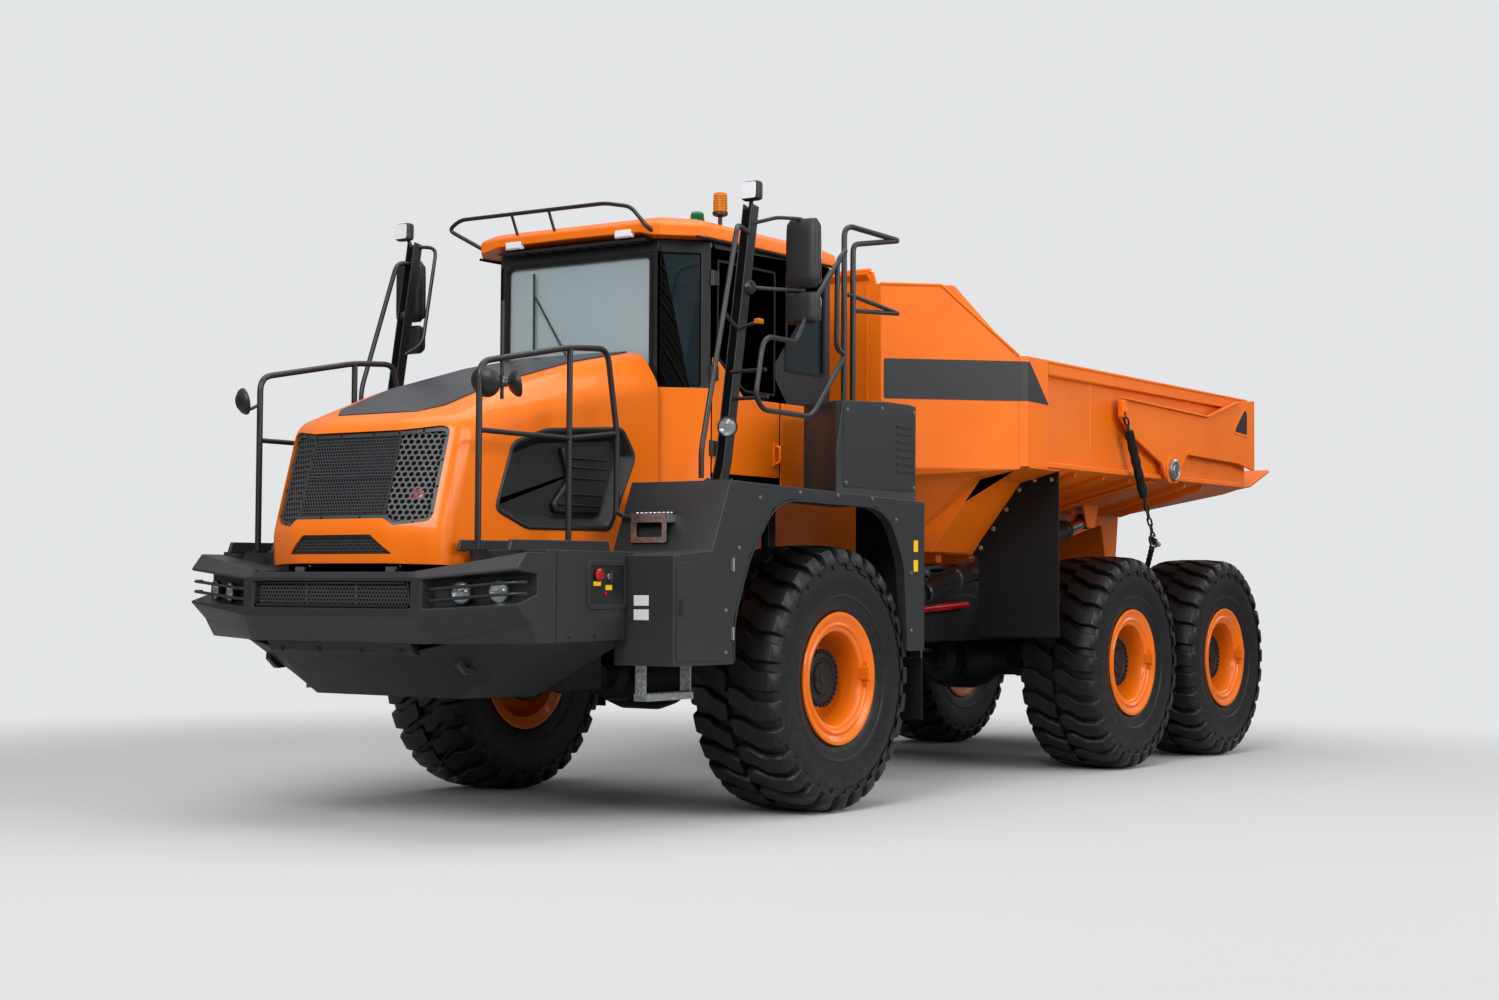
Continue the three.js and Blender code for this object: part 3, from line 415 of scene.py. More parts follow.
# Vacuum-metallised lamp reflectors and mirror glass.
mirrorFilm = surface("mirrorFilm", "#d7dadc", "#cfd3d6", 0.07, 0.02, metal=1.0, grain=0.0)
# Pale diffusing front of the work lamps.
lampFace = surface("lampFace", "#e9ecee", "#dfe3e6", 0.16, 0.03, coat=0.6)


def woven():
    # seat cloth: a plain weave drawn at 9 mm, coarser than the real 1.5 mm so that it shows at all
    material = surface("seatCloth", "#2a2c30", "#222428", 0.9, 0.03, grain=0.3)
    tree = material.node_tree
    shader = tree.nodes["Principled BSDF"]
    place = addNode(tree, "TexCoord").outputs["Object"]
    across = addNode(tree, "TexWave", {"Vector": place, "Scale": 35.0}, bands_direction="Y")
    down = addNode(tree, "TexWave", {"Vector": place, "Scale": 35.0}, bands_direction="Z")
    weave = addNode(tree, "Math", {0: across.outputs["Fac"], 1: down.outputs["Fac"]}, operation="MULTIPLY")
    bump = addNode(tree, "Bump", {"Strength": 0.5, "Distance": 0.002, "Height": weave.outputs[0]})
    tree.links.new(bump.outputs[0], shader.inputs["Normal"])
    shader.inputs["Sheen Weight"].default_value = 0.3
    return material


seatCloth = woven()
print("materials made")


def dress(obj, material, body, replaces=(), smooth=32):
    obj.data.materials.clear()
    obj.data.materials.append(material)
    obj.data.polygons.foreach_set("use_smooth", np.ones(len(obj.data.polygons), bool))
    obj.data.set_sharp_from_angle(angle=math.radians(smooth))
    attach(obj, body)
    if replaces:
        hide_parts(*replaces)
    return obj


def soften(obj, width, segments=2, angle=35):
    if width:
        bevel = obj.modifiers.new("edges", "BEVEL")
        bevel.width = width / 1000
        bevel.segments = segments
        bevel.limit_method = "ANGLE"
        bevel.angle_limit = math.radians(angle)
        bevel.use_clamp_overlap = False
        bevel.harden_normals = True


def metres(points):
    return ((points + [axleX, 0, 0]) / 1000).tolist()


def meshOf(name, shape):
    # a shape in millimetres from the front axle as a mesh in the frame's metres
    mesh = bpy.data.meshes.new(name)
    mesh.from_pydata(metres(shape[0]), [], [row for group in shape[1] for row in group.tolist()])
    return mesh


def placed(name, mesh):
    obj = bpy.data.objects.new(name, mesh)
    bpy.context.scene.collection.objects.link(obj)
    return obj


def make(name, shape, material, body, bevel=0.0, replaces=(), smooth=32, segments=2):
    # a shape becomes a piece that rides on one of the CAD's bodies
    mesh = meshOf(name, shape)
    work = bmesh.new()
    work.from_mesh(mesh)
    bmesh.ops.remove_doubles(work, verts=work.verts, dist=2e-5)
    bmesh.ops.dissolve_degenerate(work, edges=work.edges, dist=1e-6)
    bmesh.ops.recalc_face_normals(work, faces=work.faces)
    work.to_mesh(mesh)
    work.free()
    obj = dress(placed(name, mesh), material, body, replaces, smooth)
    soften(obj, bevel, segments)
    return obj


def makePair(name, shape, material, body, bevel=0.0, node=None, **look):
    # the left piece as drawn and the right one as its mirror image; body and node may hold {} for the side
    for side, made in (("left", shape), ("right", mirrored(shape))):
        make(name + side.title(), made, material, body.format(side), bevel,
             [node.format(side)] if node else (), **look)


def titled(node):
    return node.replace("_", " ").title().replace(" ", "")


def skin(name, node, material, body, bevel=5.0, smooth=32):
    # the CAD node's own mesh, copied, merged and rid of its flat triangle edges, then given soft edges
    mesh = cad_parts[node].data.copy()
    mesh.name = name
    work = bmesh.new()
    work.from_mesh(mesh)
    bmesh.ops.remove_doubles(work, verts=work.verts, dist=1e-5)
    bmesh.ops.dissolve_limit(work, angle_limit=math.radians(1.0), verts=work.verts, edges=work.edges)
    work.to_mesh(mesh)
    work.free()
    obj = dress(placed(name, mesh), material, body, [node], smooth)
    soften(obj, bevel)
    return obj


# wheels: each axle's place along x, and the tyre's cross-section as (radius, across)
axleSpots = dict(front=0, middle=-4025, rear=-5755)
wheel = dict(lugs=28, crown=778.0, halfTrack=1185.0,
             carcass=[(384, -240), (395, -250), (430, -262), (470, -272), (476, -278), (486, -278),
                      (492, -276), (560, -288), (622, -289), (640, -284), (676, -280), (706, -268),
                      (726, -236), (734, -160), (736, 0), (734, 160), (726, 236), (706, 268), (676, 280),
                      (640, 284), (622, 289), (560, 288), (492, 276), (486, 278), (476, 278), (470, 272),
                      (430, 262), (395, 250), (384, 240)])


def treadLugs(side):
    # One row of lugs: a ribbon along a kinked centre line from shoulder to middle, with drafted flanks,
    # laid on the tyre by angle = along / crown and lifted to the crown's height at each place.
    y = np.array([297, 292, 280, 262, 225, 170, 140, 108, 70, 30, 12.0])
    along = np.array([0, 0, 0, 2, 6, 10, 24, 52, 74, 88, 94.0])
    half = np.array([46, 49, 52, 55, 57, 58, 57, 57, 60, 56, 48.0])
    top = np.array([676, 704, 736, 757, 768, 773, 775, 776.5, 777.5, 778, 778.0])
    base = np.array([672, 668, 690, 706, 722, 728, 728, 728, 728, 728, 728.0])
    across = np.array([-1.16, -1.0, -0.90, 0.90, 1.0, 1.16])
    level = np.array([0.0, 0.86, 1.0, 1.0, 0.86, 0.0])
    radius = base[:, None] + (top - base)[:, None] * level
    s = along[:, None] + half[:, None] * across
    pitch = 2 * math.pi / wheel["lugs"]
    turn = pitch * (np.arange(wheel["lugs"]) + (0.5 if side < 0 else 0))
    angle = turn[:, None, None] + (s / wheel["crown"])[None] * side
    r = radius[None]
    points = np.stack([r * np.cos(angle), np.broadcast_to(side * y[None, :, None], angle.shape),
                       r * np.sin(angle)], -1)
    rows, columns = radius.shape
    count = rows * columns
    cap = np.arange(columns)[None]
    near, far = np.arange(rows - 1) * columns, np.arange(1, rows) * columns
    under = np.stack([near, near + columns - 1, far + columns - 1, far], 1)
    faces = [gridQuads(rows, columns), cap, cap[:, ::-1] + count - columns, under]
    return points.reshape(-1, 3), repeated(faces, wheel["lugs"], count)


def tieBars():
    # low bars between neighbouring shoulder lugs, and the small blocks on the buttress of each lug
    pitch = 2 * math.pi / wheel["lugs"]
    parts = []
    for side in (1, -1):
        turn = pitch * (np.arange(wheel["lugs"]) + (0.5 if side > 0 else 0.0))
        a = turn[:, None] + np.array([-0.5, 0.5, 0.5, -0.5] * 2)[None] * pitch * 0.62
        r = np.array([640, 640, 680, 680, 648, 648, 716, 716.0])
        y = np.array([292, 292, 288, 288, 262, 262, 250, 250.0]) * side
        points = np.stack([r * np.cos(a), np.broadcast_to(y, a.shape), r * np.sin(a)], -1).reshape(-1, 3)
        cell = np.array([[0, 1, 2, 3], [4, 7, 6, 5], [0, 4, 5, 1], [3, 2, 6, 7], [0, 3, 7, 4], [1, 5, 6, 2]])
        parts.append((points, repeated([cell], wheel["lugs"], 8)))
    return join(*parts)


def tyreShape():
    carcass = revolve(wheel["carcass"] + [(384, -240)], origin, sideways, 96)
    return join(carcass, treadLugs(1), treadLugs(-1), tieBars())


def rimShape():
    # outer side towards +y: flange lip, taper, lock ring, barrel, disc, and the plain inner half
    profile = [(0, -40), (236, -40), (262, -60), (300, -150), (312, -236), (352, -248), (372, -262),
               (384, -262), (389, -256), (384, -244), (352, -232), (340, -200), (340, 200), (352, 232),
               (384, 244), (389, 256), (385, 264), (374, 267), (362, 262), (340, 247), (332, 244), (326, 250),
               (316, 254), (306, 250), (300, 240), (288, 238), (279, 234), (272, 224), (268, 150), (262, 40),
               (250, 6), (232, -6), (0, -6)]
    parts = [revolve(profile, origin, sideways, 96)]
    # the valve guard: a block across the lock ring with two bolted lugs
    parts.append(prism(rounded([(-322, -16), (-322, 62), (-268, 62), (-268, -16)], 8), 228, 292, 1))
    parts.append(prism(rounded([(-312, -52), (-312, 98), (-286, 98), (-286, -52)], 6), 240, 272, 1))
    return join(*parts)


def hubShape():
    # planetary hub: drum, toothed rim of bolt heads, stepped cover and drain plugs
    drum = revolve([(0, -8), (176, -8), (170, 60), (164, 128), (150, 140), (118, 142), (112, 134), (96, 134),
                    (90, 146), (60, 150), (52, 146), (40, 146), (36, 152), (0, 152)], origin, sideways, 64)
    angle = np.radians(np.arange(0, 360, 12))
    teeth = bolts(np.stack([158 * np.cos(angle), np.full(30, 136.0), 158 * np.sin(angle)], 1), sideways, 22)
    angle = np.radians(np.arange(0, 360, 30))
    nuts = bolts(np.stack([208 * np.cos(angle), np.full(12, -4.0), 208 * np.sin(angle)], 1), sideways, 34)
    plugs = bolts([[74, 140, 0], [-74, 140, 0]], sideways, 26)
    return join(drum, teeth, nuts, plugs)


wheelParts = (("Tyre", tyreShape(), tyreRubber, 28), ("Rim", rimShape(), orangeEnamel, 40),
              ("Hub", hubShape(), chassisPaint, 40))
for row, x in axleSpots.items():
    for side, flip in (("left", 1), ("right", -1)):
        for part, shape, material, smooth in wheelParts:
            made = moved(shape if flip > 0 else mirrored(shape), (x, flip * wheel["halfTrack"], wheelHeight))
            node = [] if part == "Hub" else [f"{part.lower()}_{row}_{side}"]
            make(row + side.title() + part, made, material, f"wheel_{row}_{side}", 0, node, smooth=smooth)
print("wheels made")


def axleCasing(x):
    # banjo casing: a bowl in the middle, tapering arms, brake drums and bolt circles
    z = wheelHeight
    arms = revolve([(0, -960), (205, -960), (205, -905), (120, -890), (112, -700), (118, -340), (190, -230),
                    (225, -120), (225, 120), (190, 230), (118, 340), (112, 700), (120, 890), (205, 905),
                    (205, 960), (0, 960)], (x, 0, z), sideways, 40)
    nose = revolve([(0, 120), (150, 120), (172, 220), (150, 330), (90, 360), (62, 430), (0, 430)],
                   (x, 0, z), forward, 32)
    angle = np.radians(np.arange(0, 360, 24))
    ring = bolts(np.stack([np.full(15, x + 190.0), 186 * np.cos(angle), z + 186 * np.sin(angle)], 1), forward,
                 22)
    collars = [pin(150, -20, 20, (x, y, z), sideways, 28) for y in (-640, 640)]
    return join(arms, nose, ring, *collars)


make("frontAxleCasing", axleCasing(axleSpots["front"]), chassisPaint, "tractor", replaces=["front_axle"],
     smooth=30)
rearAxles = join(axleCasing(axleSpots["middle"]), axleCasing(axleSpots["rear"]))
beams = [prism(rounded([(-3860, 700), (-4060, 650), (-4250, 690), (-4600, 770), (-5180, 770), (-5530, 690),
                        (-5720, 650), (-5920, 700), (-5860, 860), (-5530, 880), (-4250, 880), (-3920, 860)],
                       30), side * 540 - 62, side * 540 + 62, 1) for side in (-1, 1)]
saddle = join(slab(-4965, -4815, -600, 600, 742, 855), slab(-4950, -4830, -400, 400, 850, 928),
              pin(105, -640, 640, (-4890, 0, 812), sideways, 32))
shaft = join(pipe([(-2450, 0, 900), (-3600, 0, 800)], 55, 0, 20),
             pipe([(-4250, 0, 790), (-5330, 0, 790)], 50, 0, 20))
make("rearAxles", rearAxles, chassisPaint, "rear_chassis", replaces=["rear_bogie"], smooth=30)
make("bogieBeams", join(*beams, saddle), chassisPaint, "rear_chassis", 6)
make("driveShafts", shaft, oiledIron, "rear_chassis")

for node, body, edge in (("front_frame", "tractor", 6), ("hitch", "hitch_ring", 6),
                         ("rear_frame", "rear_chassis", 6), ("belly_guard", "tractor", 3),
                         ("transmission", "tractor", 18), ("engine", "tractor", 14)):
    skin(titled(node), node, chassisPaint, body, edge)
print("running gear made")


def onNose(a, z, level=0.0):
    # the folded front of the bonnet: x falls as z climbs, and falls again outside the middle facet
    a = a + 0 * z
    out = np.maximum(np.abs(a) - 315, 0)
    swept = (out > 0) * np.sign(a)
    x = 2637 - (z - 1640) * 0.28 - out * 0.43
    return np.stack([x + level * 0.93, a + level * 0.37 * swept, z + level * 0.26], -1)


def onChin(a, z, level=0.0):
    # the nearly upright strip under the folded face
    a = a + 0 * z
    x = 2624 + (z - 1418) * 0.162 - np.maximum(np.abs(a) - 315, 0) * 0.4
    return np.stack([x + level, a, z], -1)


def insideOutline(outline):
    p = np.asarray(outline, float)
    q = np.roll(p, -1, 0)

    def test(a, b):
        # inside when the outline's sides cross a ray from the point an odd number of times
        a, b = a[:, None], b[:, None]
        crosses = (p[:, 1] > b) != (q[:, 1] > b)
        at = p[:, 0] + (b - p[:, 1]) / (q[:, 1] - p[:, 1] + 1e-9) * (q[:, 0] - p[:, 0])
        return (np.sum(crosses & (a < at), 1) % 2) == 1
    return test


def onePerSide(outline):
    # the right half of a front outline given from the top middle down, completed by its mirror image
    right = np.asarray(outline, float)
    return np.concatenate([right, right[::-1] * [-1, 1]])


# each row of the bonnet's net: flank foot, flank top, corner and middle fold, as (x, y, z)
bonnetNet = [
    [(690, 630, 1490), (690, 630, 2480), (690, 505, 2672), (690, 330, 2685)],
    [(1209, 630, 1470), (1209, 630, 2390), (1209, 505, 2566), (1209, 330, 2580)],
    [(1857, 630, 1440), (1857, 630, 2240), (1857, 525, 2390), (1857, 330, 2405)],
    [(2280, 630, 1412), (2300, 630, 2080), (2362, 600, 2178), (2490, 315, 2168)],
    [(2400, 630, 1410), (2440, 630, 1640), (2512, 600, 1640), (2637, 315, 1640)],
    [(2420, 630, 1408), (2462, 630, 1560), (2530, 600, 1562), (2648, 315, 1566)],
    [(2430, 628, 1404), (2465, 628, 1410), (2516, 598, 1412), (2624, 315, 1418)],
]
upperGrille = onePerSide([(315, 2113), (520, 2136), (556, 2126), (566, 2100), (566, 1664), (548, 1634),
                          (366, 1611), (315, 1650)])
lowerGrille = onePerSide([(245, 1566), (371, 1466)])
ventOutline = np.array([(1975, 2069), (1701, 2155), (1029, 2205), (908, 2050), (1137, 1625), (1852, 1615),
                        (2110, 1709)], float)


def bonnetShell():
    # the net mirrored across, its rows bent round the nose, then every cross-section rounded at its corners
    net = np.array(bonnetNet, float)
    net = np.concatenate([net, net[:, ::-1] * [1, -1, 1]], 1)
    along = np.stack([bendPath(net[:, k], 70) for k in range(net.shape[1])], 1)
    outer = np.stack([bendPath(row, 62) for row in along])
    middle = np.array([1300, 0, 1700])
    inner = middle + (outer - middle) * [0.988, 0.978, 0.982]
    return shell(outer, inner)


def cut(obj, *shapes):
    # closed shapes taken out of an object, which is left with the result as its own mesh
    for shape in shapes:
        mesh = meshOf("cutter", shape)
        work = bmesh.new()
        work.from_mesh(mesh)
        bmesh.ops.recalc_face_normals(work, faces=work.faces)
        work.to_mesh(mesh)
        work.free()
        cutter = placed("cutter", mesh)
        step = obj.modifiers.new("cut", "BOOLEAN")
        step.object, step.operation, step.solver = cutter, "DIFFERENCE", "EXACT"
        bpy.context.view_layer.objects.active = obj
        bpy.ops.object.modifier_apply(modifier=step.name)
        bpy.data.objects.remove(cutter)
        bpy.data.meshes.remove(mesh)
    return obj


hood = make("bonnetShell", bonnetShell(), orangeEnamel, "bonnet_lid", replaces=["bonnet"], smooth=44)
cut(hood, prism(rounded(upperGrille, 20), 2200, 2800, 0), prism(rounded(lowerGrille, 12), 2560, 2800, 0),
    prism(rounded(ventOutline, 46), 500, 800, 1), prism(rounded(ventOutline, 46), -800, -500, 1))
hood.data.set_sharp_from_angle(angle=math.radians(44))

grilleMesh = dict(pitch=33.0, web=10.0, finePitch=20.0, fineWeb=6.0)
grilleRim = inset(upperGrille, 24)
coarse = honeycomb(lambda a, b: insideOutline(grilleRim)(a, b) & (np.abs(a) > 312), (-580, 580, 1600, 2150),
                   grilleMesh["pitch"], grilleMesh["web"], lambda a, b, level: onNose(a, b, level - 22), -4)
fineMesh = honeycomb(lambda a, b: insideOutline(grilleRim)(a, b) & (np.abs(a) <= 312),
                     (-580, 580, 1600, 2150), grilleMesh["finePitch"], grilleMesh["fineWeb"],
                     lambda a, b, level: onNose(a, b, level - 22), -4)
make("upperGrilleMesh", join(coarse, fineMesh), meshCoat, "bonnet_lid", replaces=["grille"])
barSpots = np.array(rectangle(-312, 312, 1868, 1884), float)
rimBolts = copies(revolve([(0, -2), (7, -2), (6, 5), (0, 6)], origin, forward, 8),
                  onNose(*np.array([(a * s, z) for s in (-1, 1)
                                    for a, z in ((120, 2101), (300, 2101), (430, 2114), (545, 2085),
                                                 (554, 1960), (554, 1820), (554, 1680), (470, 1634),
                                                 (330, 1636), (140, 1662))]).T, -16))
bands = join(ribbon(upperGrille, grilleRim, onNose, -30, -17),
             ribbon(barSpots, inset(barSpots, 5), onNose, -26, -17),
             *[ribbon(np.array([(a - 5, 1674), (a + 5, 1674), (a + 5, 2088), (a - 5, 2088)], float),
                      np.array([(a - 2, 1677), (a + 2, 1677), (a + 2, 2085), (a - 2, 2085)], float), onNose,
                      -26, -18) for a in (-310, 310)])
make("upperGrilleFrame", bands, meshCoat, "bonnet_lid", 2)
make("grilleBolts", rimBolts, blackEnamel, "bonnet_lid")
# a dead black rubber sheet behind the upper grille, standing for the cooler core: its black is partly painted
# shade of the opening
a, z = np.meshgrid([-560, -440, -315, 0, 315, 440, 560], [1612, 1800, 1950, 2130])
make("coolerCorePaintedShade", shell(onNose(a, z, -46.0), onNose(a, z, -56.0)), sheetRubber, "bonnet_lid")
discs = [revolve([(0, -6), (34, -6), (38, 0), (34, 5), (18, 7), (0, 4)],
                 onNose(np.array(a), np.array(z), -34), (0.93, 0.37 * np.sign(a), 0.26), 28)
         for a, z in ((455, 1790), (-455, 1790))]
make("grilleReflectors", join(*discs), redLens, "bonnet_lid")

make("lowerGrilleMesh", honeycomb(insideOutline(inset(lowerGrille, 10)), (-400, 400, 1445, 1575), 19, 6,
                                  lambda a, b, level: onChin(a, b, level - 14), -4), meshCoat, "bonnet_lid")
make("lowerGrilleFrame", ribbon(lowerGrille, inset(lowerGrille, 14), onChin, -24, -8), blackPlastic,
     "bonnet_lid", 2)
# a dead black rubber sheet behind the lower grille: painted shade in the opening
a, z = np.meshgrid([-375, -315, 0, 315, 375], [1455, 1570])
make("lowerGrillePaintedShade", shell(onChin(a, z, -50.0), onChin(a, z, -60.0)), sheetRubber, "bonnet_lid")

# the dark anti-glare panel on the bonnet's top
xs = np.linspace(700, 2350, 40)
zs = np.interp(xs, [690, 1209, 1857, 2490], [2685, 2580, 2405, 2168])
halves = np.interp(xs, [690, 1857, 2240, 2350], [400, 392, 385, 290])
across = np.linspace(-1, 1, 13)
grid = np.stack([np.broadcast_to(xs[:, None], (40, 13)), halves[:, None] * across,
                 zs[:, None] + 2 * (1 - across ** 2) + 4.0], -1)
make("bonnetTopPanel", shell(grid, grid - [0, 0, 22]), panelCoat, "bonnet_lid")


# deep black trays in the flanks, each with a raised louvre insert, and the latch handle behind it
def flankRing(by, y):
    return lay(inset(rounded(ventOutline, 46), by), 1, y)


tray = loft([flankRing(74, 560), flankRing(18, 634), flankRing(4, 638), flankRing(-8, 634),
             flankRing(-8, 622), flankRing(2, 618), flankRing(62, 548)])
insert = rounded([(1520, 2070), (1130, 2105), (1080, 2010), (1180, 1712), (1560, 1706), (1590, 1760),
                  (1450, 1900)], 26)
louvres = [prism([(x0, 566), (x1, 566), (x1 - 4, 612), (x0 + 4, 600)], z, z + 9, 2)
           for x0, x1, z in ((1110, 1460, 2010), (1120, 1440, 1960), (1140, 1440, 1900), (1160, 1500, 1810),
                             (1180, 1550, 1750))]
ventInsert = join(loft([lay(insert, 1, 556), lay(insert, 1, 584), lay(inset(insert, 12), 1, 592)]), *louvres)
handle = join(pipe([(860, 640, 1700), (860, 684, 1706), (950, 688, 1716)], 15, 12, 12),
              revolve([(0, 0), (30, 0), (30, 14), (22, 20), (0, 20)], (860, 628, 1700), sideways, 24))
makePair("sideVent", tray, blackPlastic, "bonnet_lid", smooth=30)
makePair("ventInsert", ventInsert, blackPlastic, "bonnet_lid", 4)
makePair("bonnetLatch", handle, blackEnamel, "bonnet_lid")
hinges = [join(slab(2500, 2580, y - 34, y + 34, 1336, 1400),
               bolts([(2530, y - 20, 1400), (2530, y + 20, 1400)], upward, 16),
               pin(13, -40, 40, (2560, y, 1395), sideways, 16)) for y in (-330, 330)]
make("bonnetHinges", join(*hinges), zincPlate, "tractor")
print("bonnet made")

# bumper: closed sections along its width. Each section runs from the ledge's back edge over the lip,
# into the pocket (back wall given apart) and down round the chin.
bumperBack = 2345


def bumperSection(y, front, back, ledge, pocketTop, pocketFoot, backTop, backFoot, low, chin, trough=False):
    # front and back are x, ledge and chin are (x, z); pocket heights belong to the face and the back wall
    x, z, lip = ledge
    top = ([(bumperBack, y, 1338), (2650, y, 1338), (2662, y, 1343), (2669, y, 1374), (2676, y, 1374)]
           if trough else [(bumperBack, y, z), (x - 60, y, z), (x - 40, y, z), (x - 20, y, z), (x, y, z)])
    face = [(front, y, lip), (front, y, pocketTop), (back, y, backTop), (back, y, backFoot),
            (front, y, pocketFoot), (front, y, low), (chin[0], y, chin[1]), (bumperBack, y, chin[1])]
    return np.array(top + face, float)


ledgeIn, ledgeOut = (2640, 1385, 1343), (2504, 1474, 1394)
bumperHalf = [
    bumperSection(0, 2690, 2652, ledgeIn, 1326, 1184, 1320, 1191, 1142, (2628, 1007), True),
    bumperSection(552, 2690, 2652, ledgeIn, 1326, 1184, 1320, 1191, 1142, (2628, 1007), True),
    bumperSection(574, 2690, 2689, ledgeIn, 1326, 1184, 1322, 1188, 1142, (2628, 1007), True),
    bumperSection(628, 2690, 2689, ledgeIn, 1334, 1184, 1332, 1188, 1142, (2628, 1007)),
    bumperSection(646, 2686, 2685, (2636, 1388, 1344), 1334, 1184, 1332, 1188, 1143, (2624, 1010)),
    bumperSection(662, 2683, 2596, (2632, 1390, 1345), 1334, 1185, 1330, 1196, 1144, (2620, 1013)),
    bumperSection(1120, 2587, 2432, (2518, 1464, 1388), 1376, 1209, 1362, 1254, 1198, (2490, 1104)),
    bumperSection(1184, 2573, 2418, ledgeOut, 1382, 1214, 1364, 1261, 1204, (2474, 1118)),
]
farHalf = [section * [1, -1, 1] for section in bumperHalf[:0:-1]]
bar = loft(np.array(farHalf + bumperHalf))
sideBox = join(prism(rounded([(1632, 1024), (2345, 1018), (2345, 1489), (1632, 1489)], 8), 662, 1184.6, 1),
               loft([[(2344, 662, 1012), (2606, 662, 1008), (2618, 662, 1016), (2344, 662, 1100)],
                     [(2344, 1184.3, 1018), (2408, 1184.3, 1018), (2474, 1184.3, 1119),
                      (2344, 1184.3, 1119)]]),
               prism([(1632, 1489), (2460, 1479), (2436, 1540), (1650, 1546)], 1006, 1030, 1),
               prism([(1632, 1489), (2460, 1479), (2436, 1540), (1650, 1546)], 672, 690, 1))
make("bumperShell", join(bar, bothSides(sideBox)), greyEnamel, "tractor", 5, ["bumper"], smooth=24)

bumperMesh = dict(low=1196, high=1316, half=545, x=2668, extent=(-560, 560, 1190, 1322), pitch=22, web=7)


def inBumperMesh(a, b):
    return (np.abs(a) < bumperMesh["half"]) & (b > bumperMesh["low"]) & (b < bumperMesh["high"])


def onBumperMesh(a, b, level):
    return np.stack([bumperMesh["x"] + level + 0 * a, a, b], -1)


make("bumperGrilleMesh", honeycomb(inBumperMesh, bumperMesh["extent"], bumperMesh["pitch"], bumperMesh["web"],
                                   onBumperMesh, -4), meshCoat, "tractor")
frameOuter = rounded([(-568, 1190), (568, 1190), (548, 1322), (-548, 1322)], 8)
make("bumperGrilleFrame", openFrame(frameOuter, inset(frameOuter, 14), 2656, 2680, 0), blackPlastic,
     "tractor", 3)
make("bumperMeshBars", join(*[slab(2664, 2674, y - 5, y + 5, 1192, 1320) for y in (-180, 180)]),
     meshCoat, "tractor", 2)


def roundLamp(centre, aim, radius):
    shellPart = revolve([(0, -46), (radius * 0.55, -44), (radius * 1.05, -14), (radius * 1.12, 0),
                         (radius * 1.12, 8), (radius * 0.98, 10), (radius * 0.96, 2), (radius * 0.5, -26),
                         (0, -34)], centre, aim, 32)
    reflector = revolve([(0, -30), (radius * 0.45, -24), (radius * 0.8, -8), (radius * 0.94, 1),
                         (radius * 0.94, 3), (radius * 0.78, -5), (radius * 0.42, -20), (0, -26)], centre,
                        aim, 32)
    bulb = revolve([(0, -26), (9, -24), (11, -12), (8, -4), (0, -2)], centre, aim, 16)
    lens = revolve([(0, 9), (radius * 0.5, 8), (radius * 0.95, 3), (radius * 0.95, 6), (radius * 0.5, 12),
                    (0, 13)], centre, aim, 32)
    return shellPart, join(reflector, bulb), lens


frontLamps = dict(aim=np.array([0.94, 0.34, 0.0]), radius=52, spots=[(2600, 838, 1264), (2532, 1028, 1272)])
for sideName, flip in (("Left", 1), ("Right", -1)):
    side = np.array([1, flip, 1])
    parts = [roundLamp(np.array(spot) * side, frontLamps["aim"] * side, frontLamps["radius"])
             for spot in frontLamps["spots"]]
    make(f"bumperLampHousing{sideName}", join(*[p[0] for p in parts]), blackPlastic, "tractor")
    make(f"bumperLampReflector{sideName}", join(*[p[1] for p in parts]), mirrorFilm, "tractor")
    make(f"bumperLampLens{sideName}", join(*[p[2] for p in parts]), clearLens, "tractor")
    rods = [pipe(np.array([(2655, 668, z), (2668, 700, z + 3), (2588, 1080, z + 34), (2560, 1176, z + 40),
                           (2500, 1180, z + 40)]) * side, 9, 30, 10) for z in (1226, 1282)]
    make(f"lampGuard{sideName}", join(*rods), blackEnamel, "tractor")

# the walkway's grit strips, and the side box's seams and fixings
makePair("walkwayGrit", join(*[slab(x, x + 34, 710, 990, 1489, 1492) for x in range(1700, 2259, 62)]),
         gritTape, "tractor")
makePair("sideBoxSeams", join(slab(2268, 2273, 1183.5, 1186.5, 1022, 1486),
                              slab(1700, 1704, 1183.5, 1186.5, 1026, 1486)), sheetRubber, "tractor")
makePair("bumperBolts", bolts([(x, 1185, 1046) for x in (1750, 1960, 2170)], sideways, 13), blackEnamel,
         "tractor")

# master switch recess on the left side box: a framed pocket with stop button, key switch and blank plates
recess = dict(x0=1718, x1=2000, z0=1214, z1=1412)
pocketInner = rounded(rectangle(recess["x0"], recess["x1"], recess["z0"], recess["z1"]), 12)
make("switchFrame", openFrame(inset(pocketInner, -28), pocketInner, 1180, 1192, 1), greyEnamel, "tractor", 3)
make("switchPanel", prism(inset(pocketInner, 2), 1184, 1187, 1), blackPlastic, "tractor", 1)
make("stopButton",
     join(revolve([(0, 0), (17, 0), (17, 10), (30, 12), (31, 20), (24, 27), (0, 29)], (1944, 1186, 1366),
                  sideways, 24),
          revolve([(0, 0), (10, 0), (10, 8), (0, 9)], (1880, 1186, 1268), sideways, 20)), redEnamel,
     "tractor")
make("keySwitch",
     join(revolve([(0, 0), (17, 0), (17, 8), (13, 12), (0, 12)], (1850, 1186, 1356), sideways, 20),
          prism(rectangle(1846, 1854, 1326, 1386), 1198, 1210, 1)), zincPlate, "tractor")
make("switchPlates",
     join(slab(1915, 1975, 1186, 1188.5, 1308, 1330), slab(1822, 1876, 1186, 1188.5, 1286, 1312)), yellowFilm,
     "tractor")


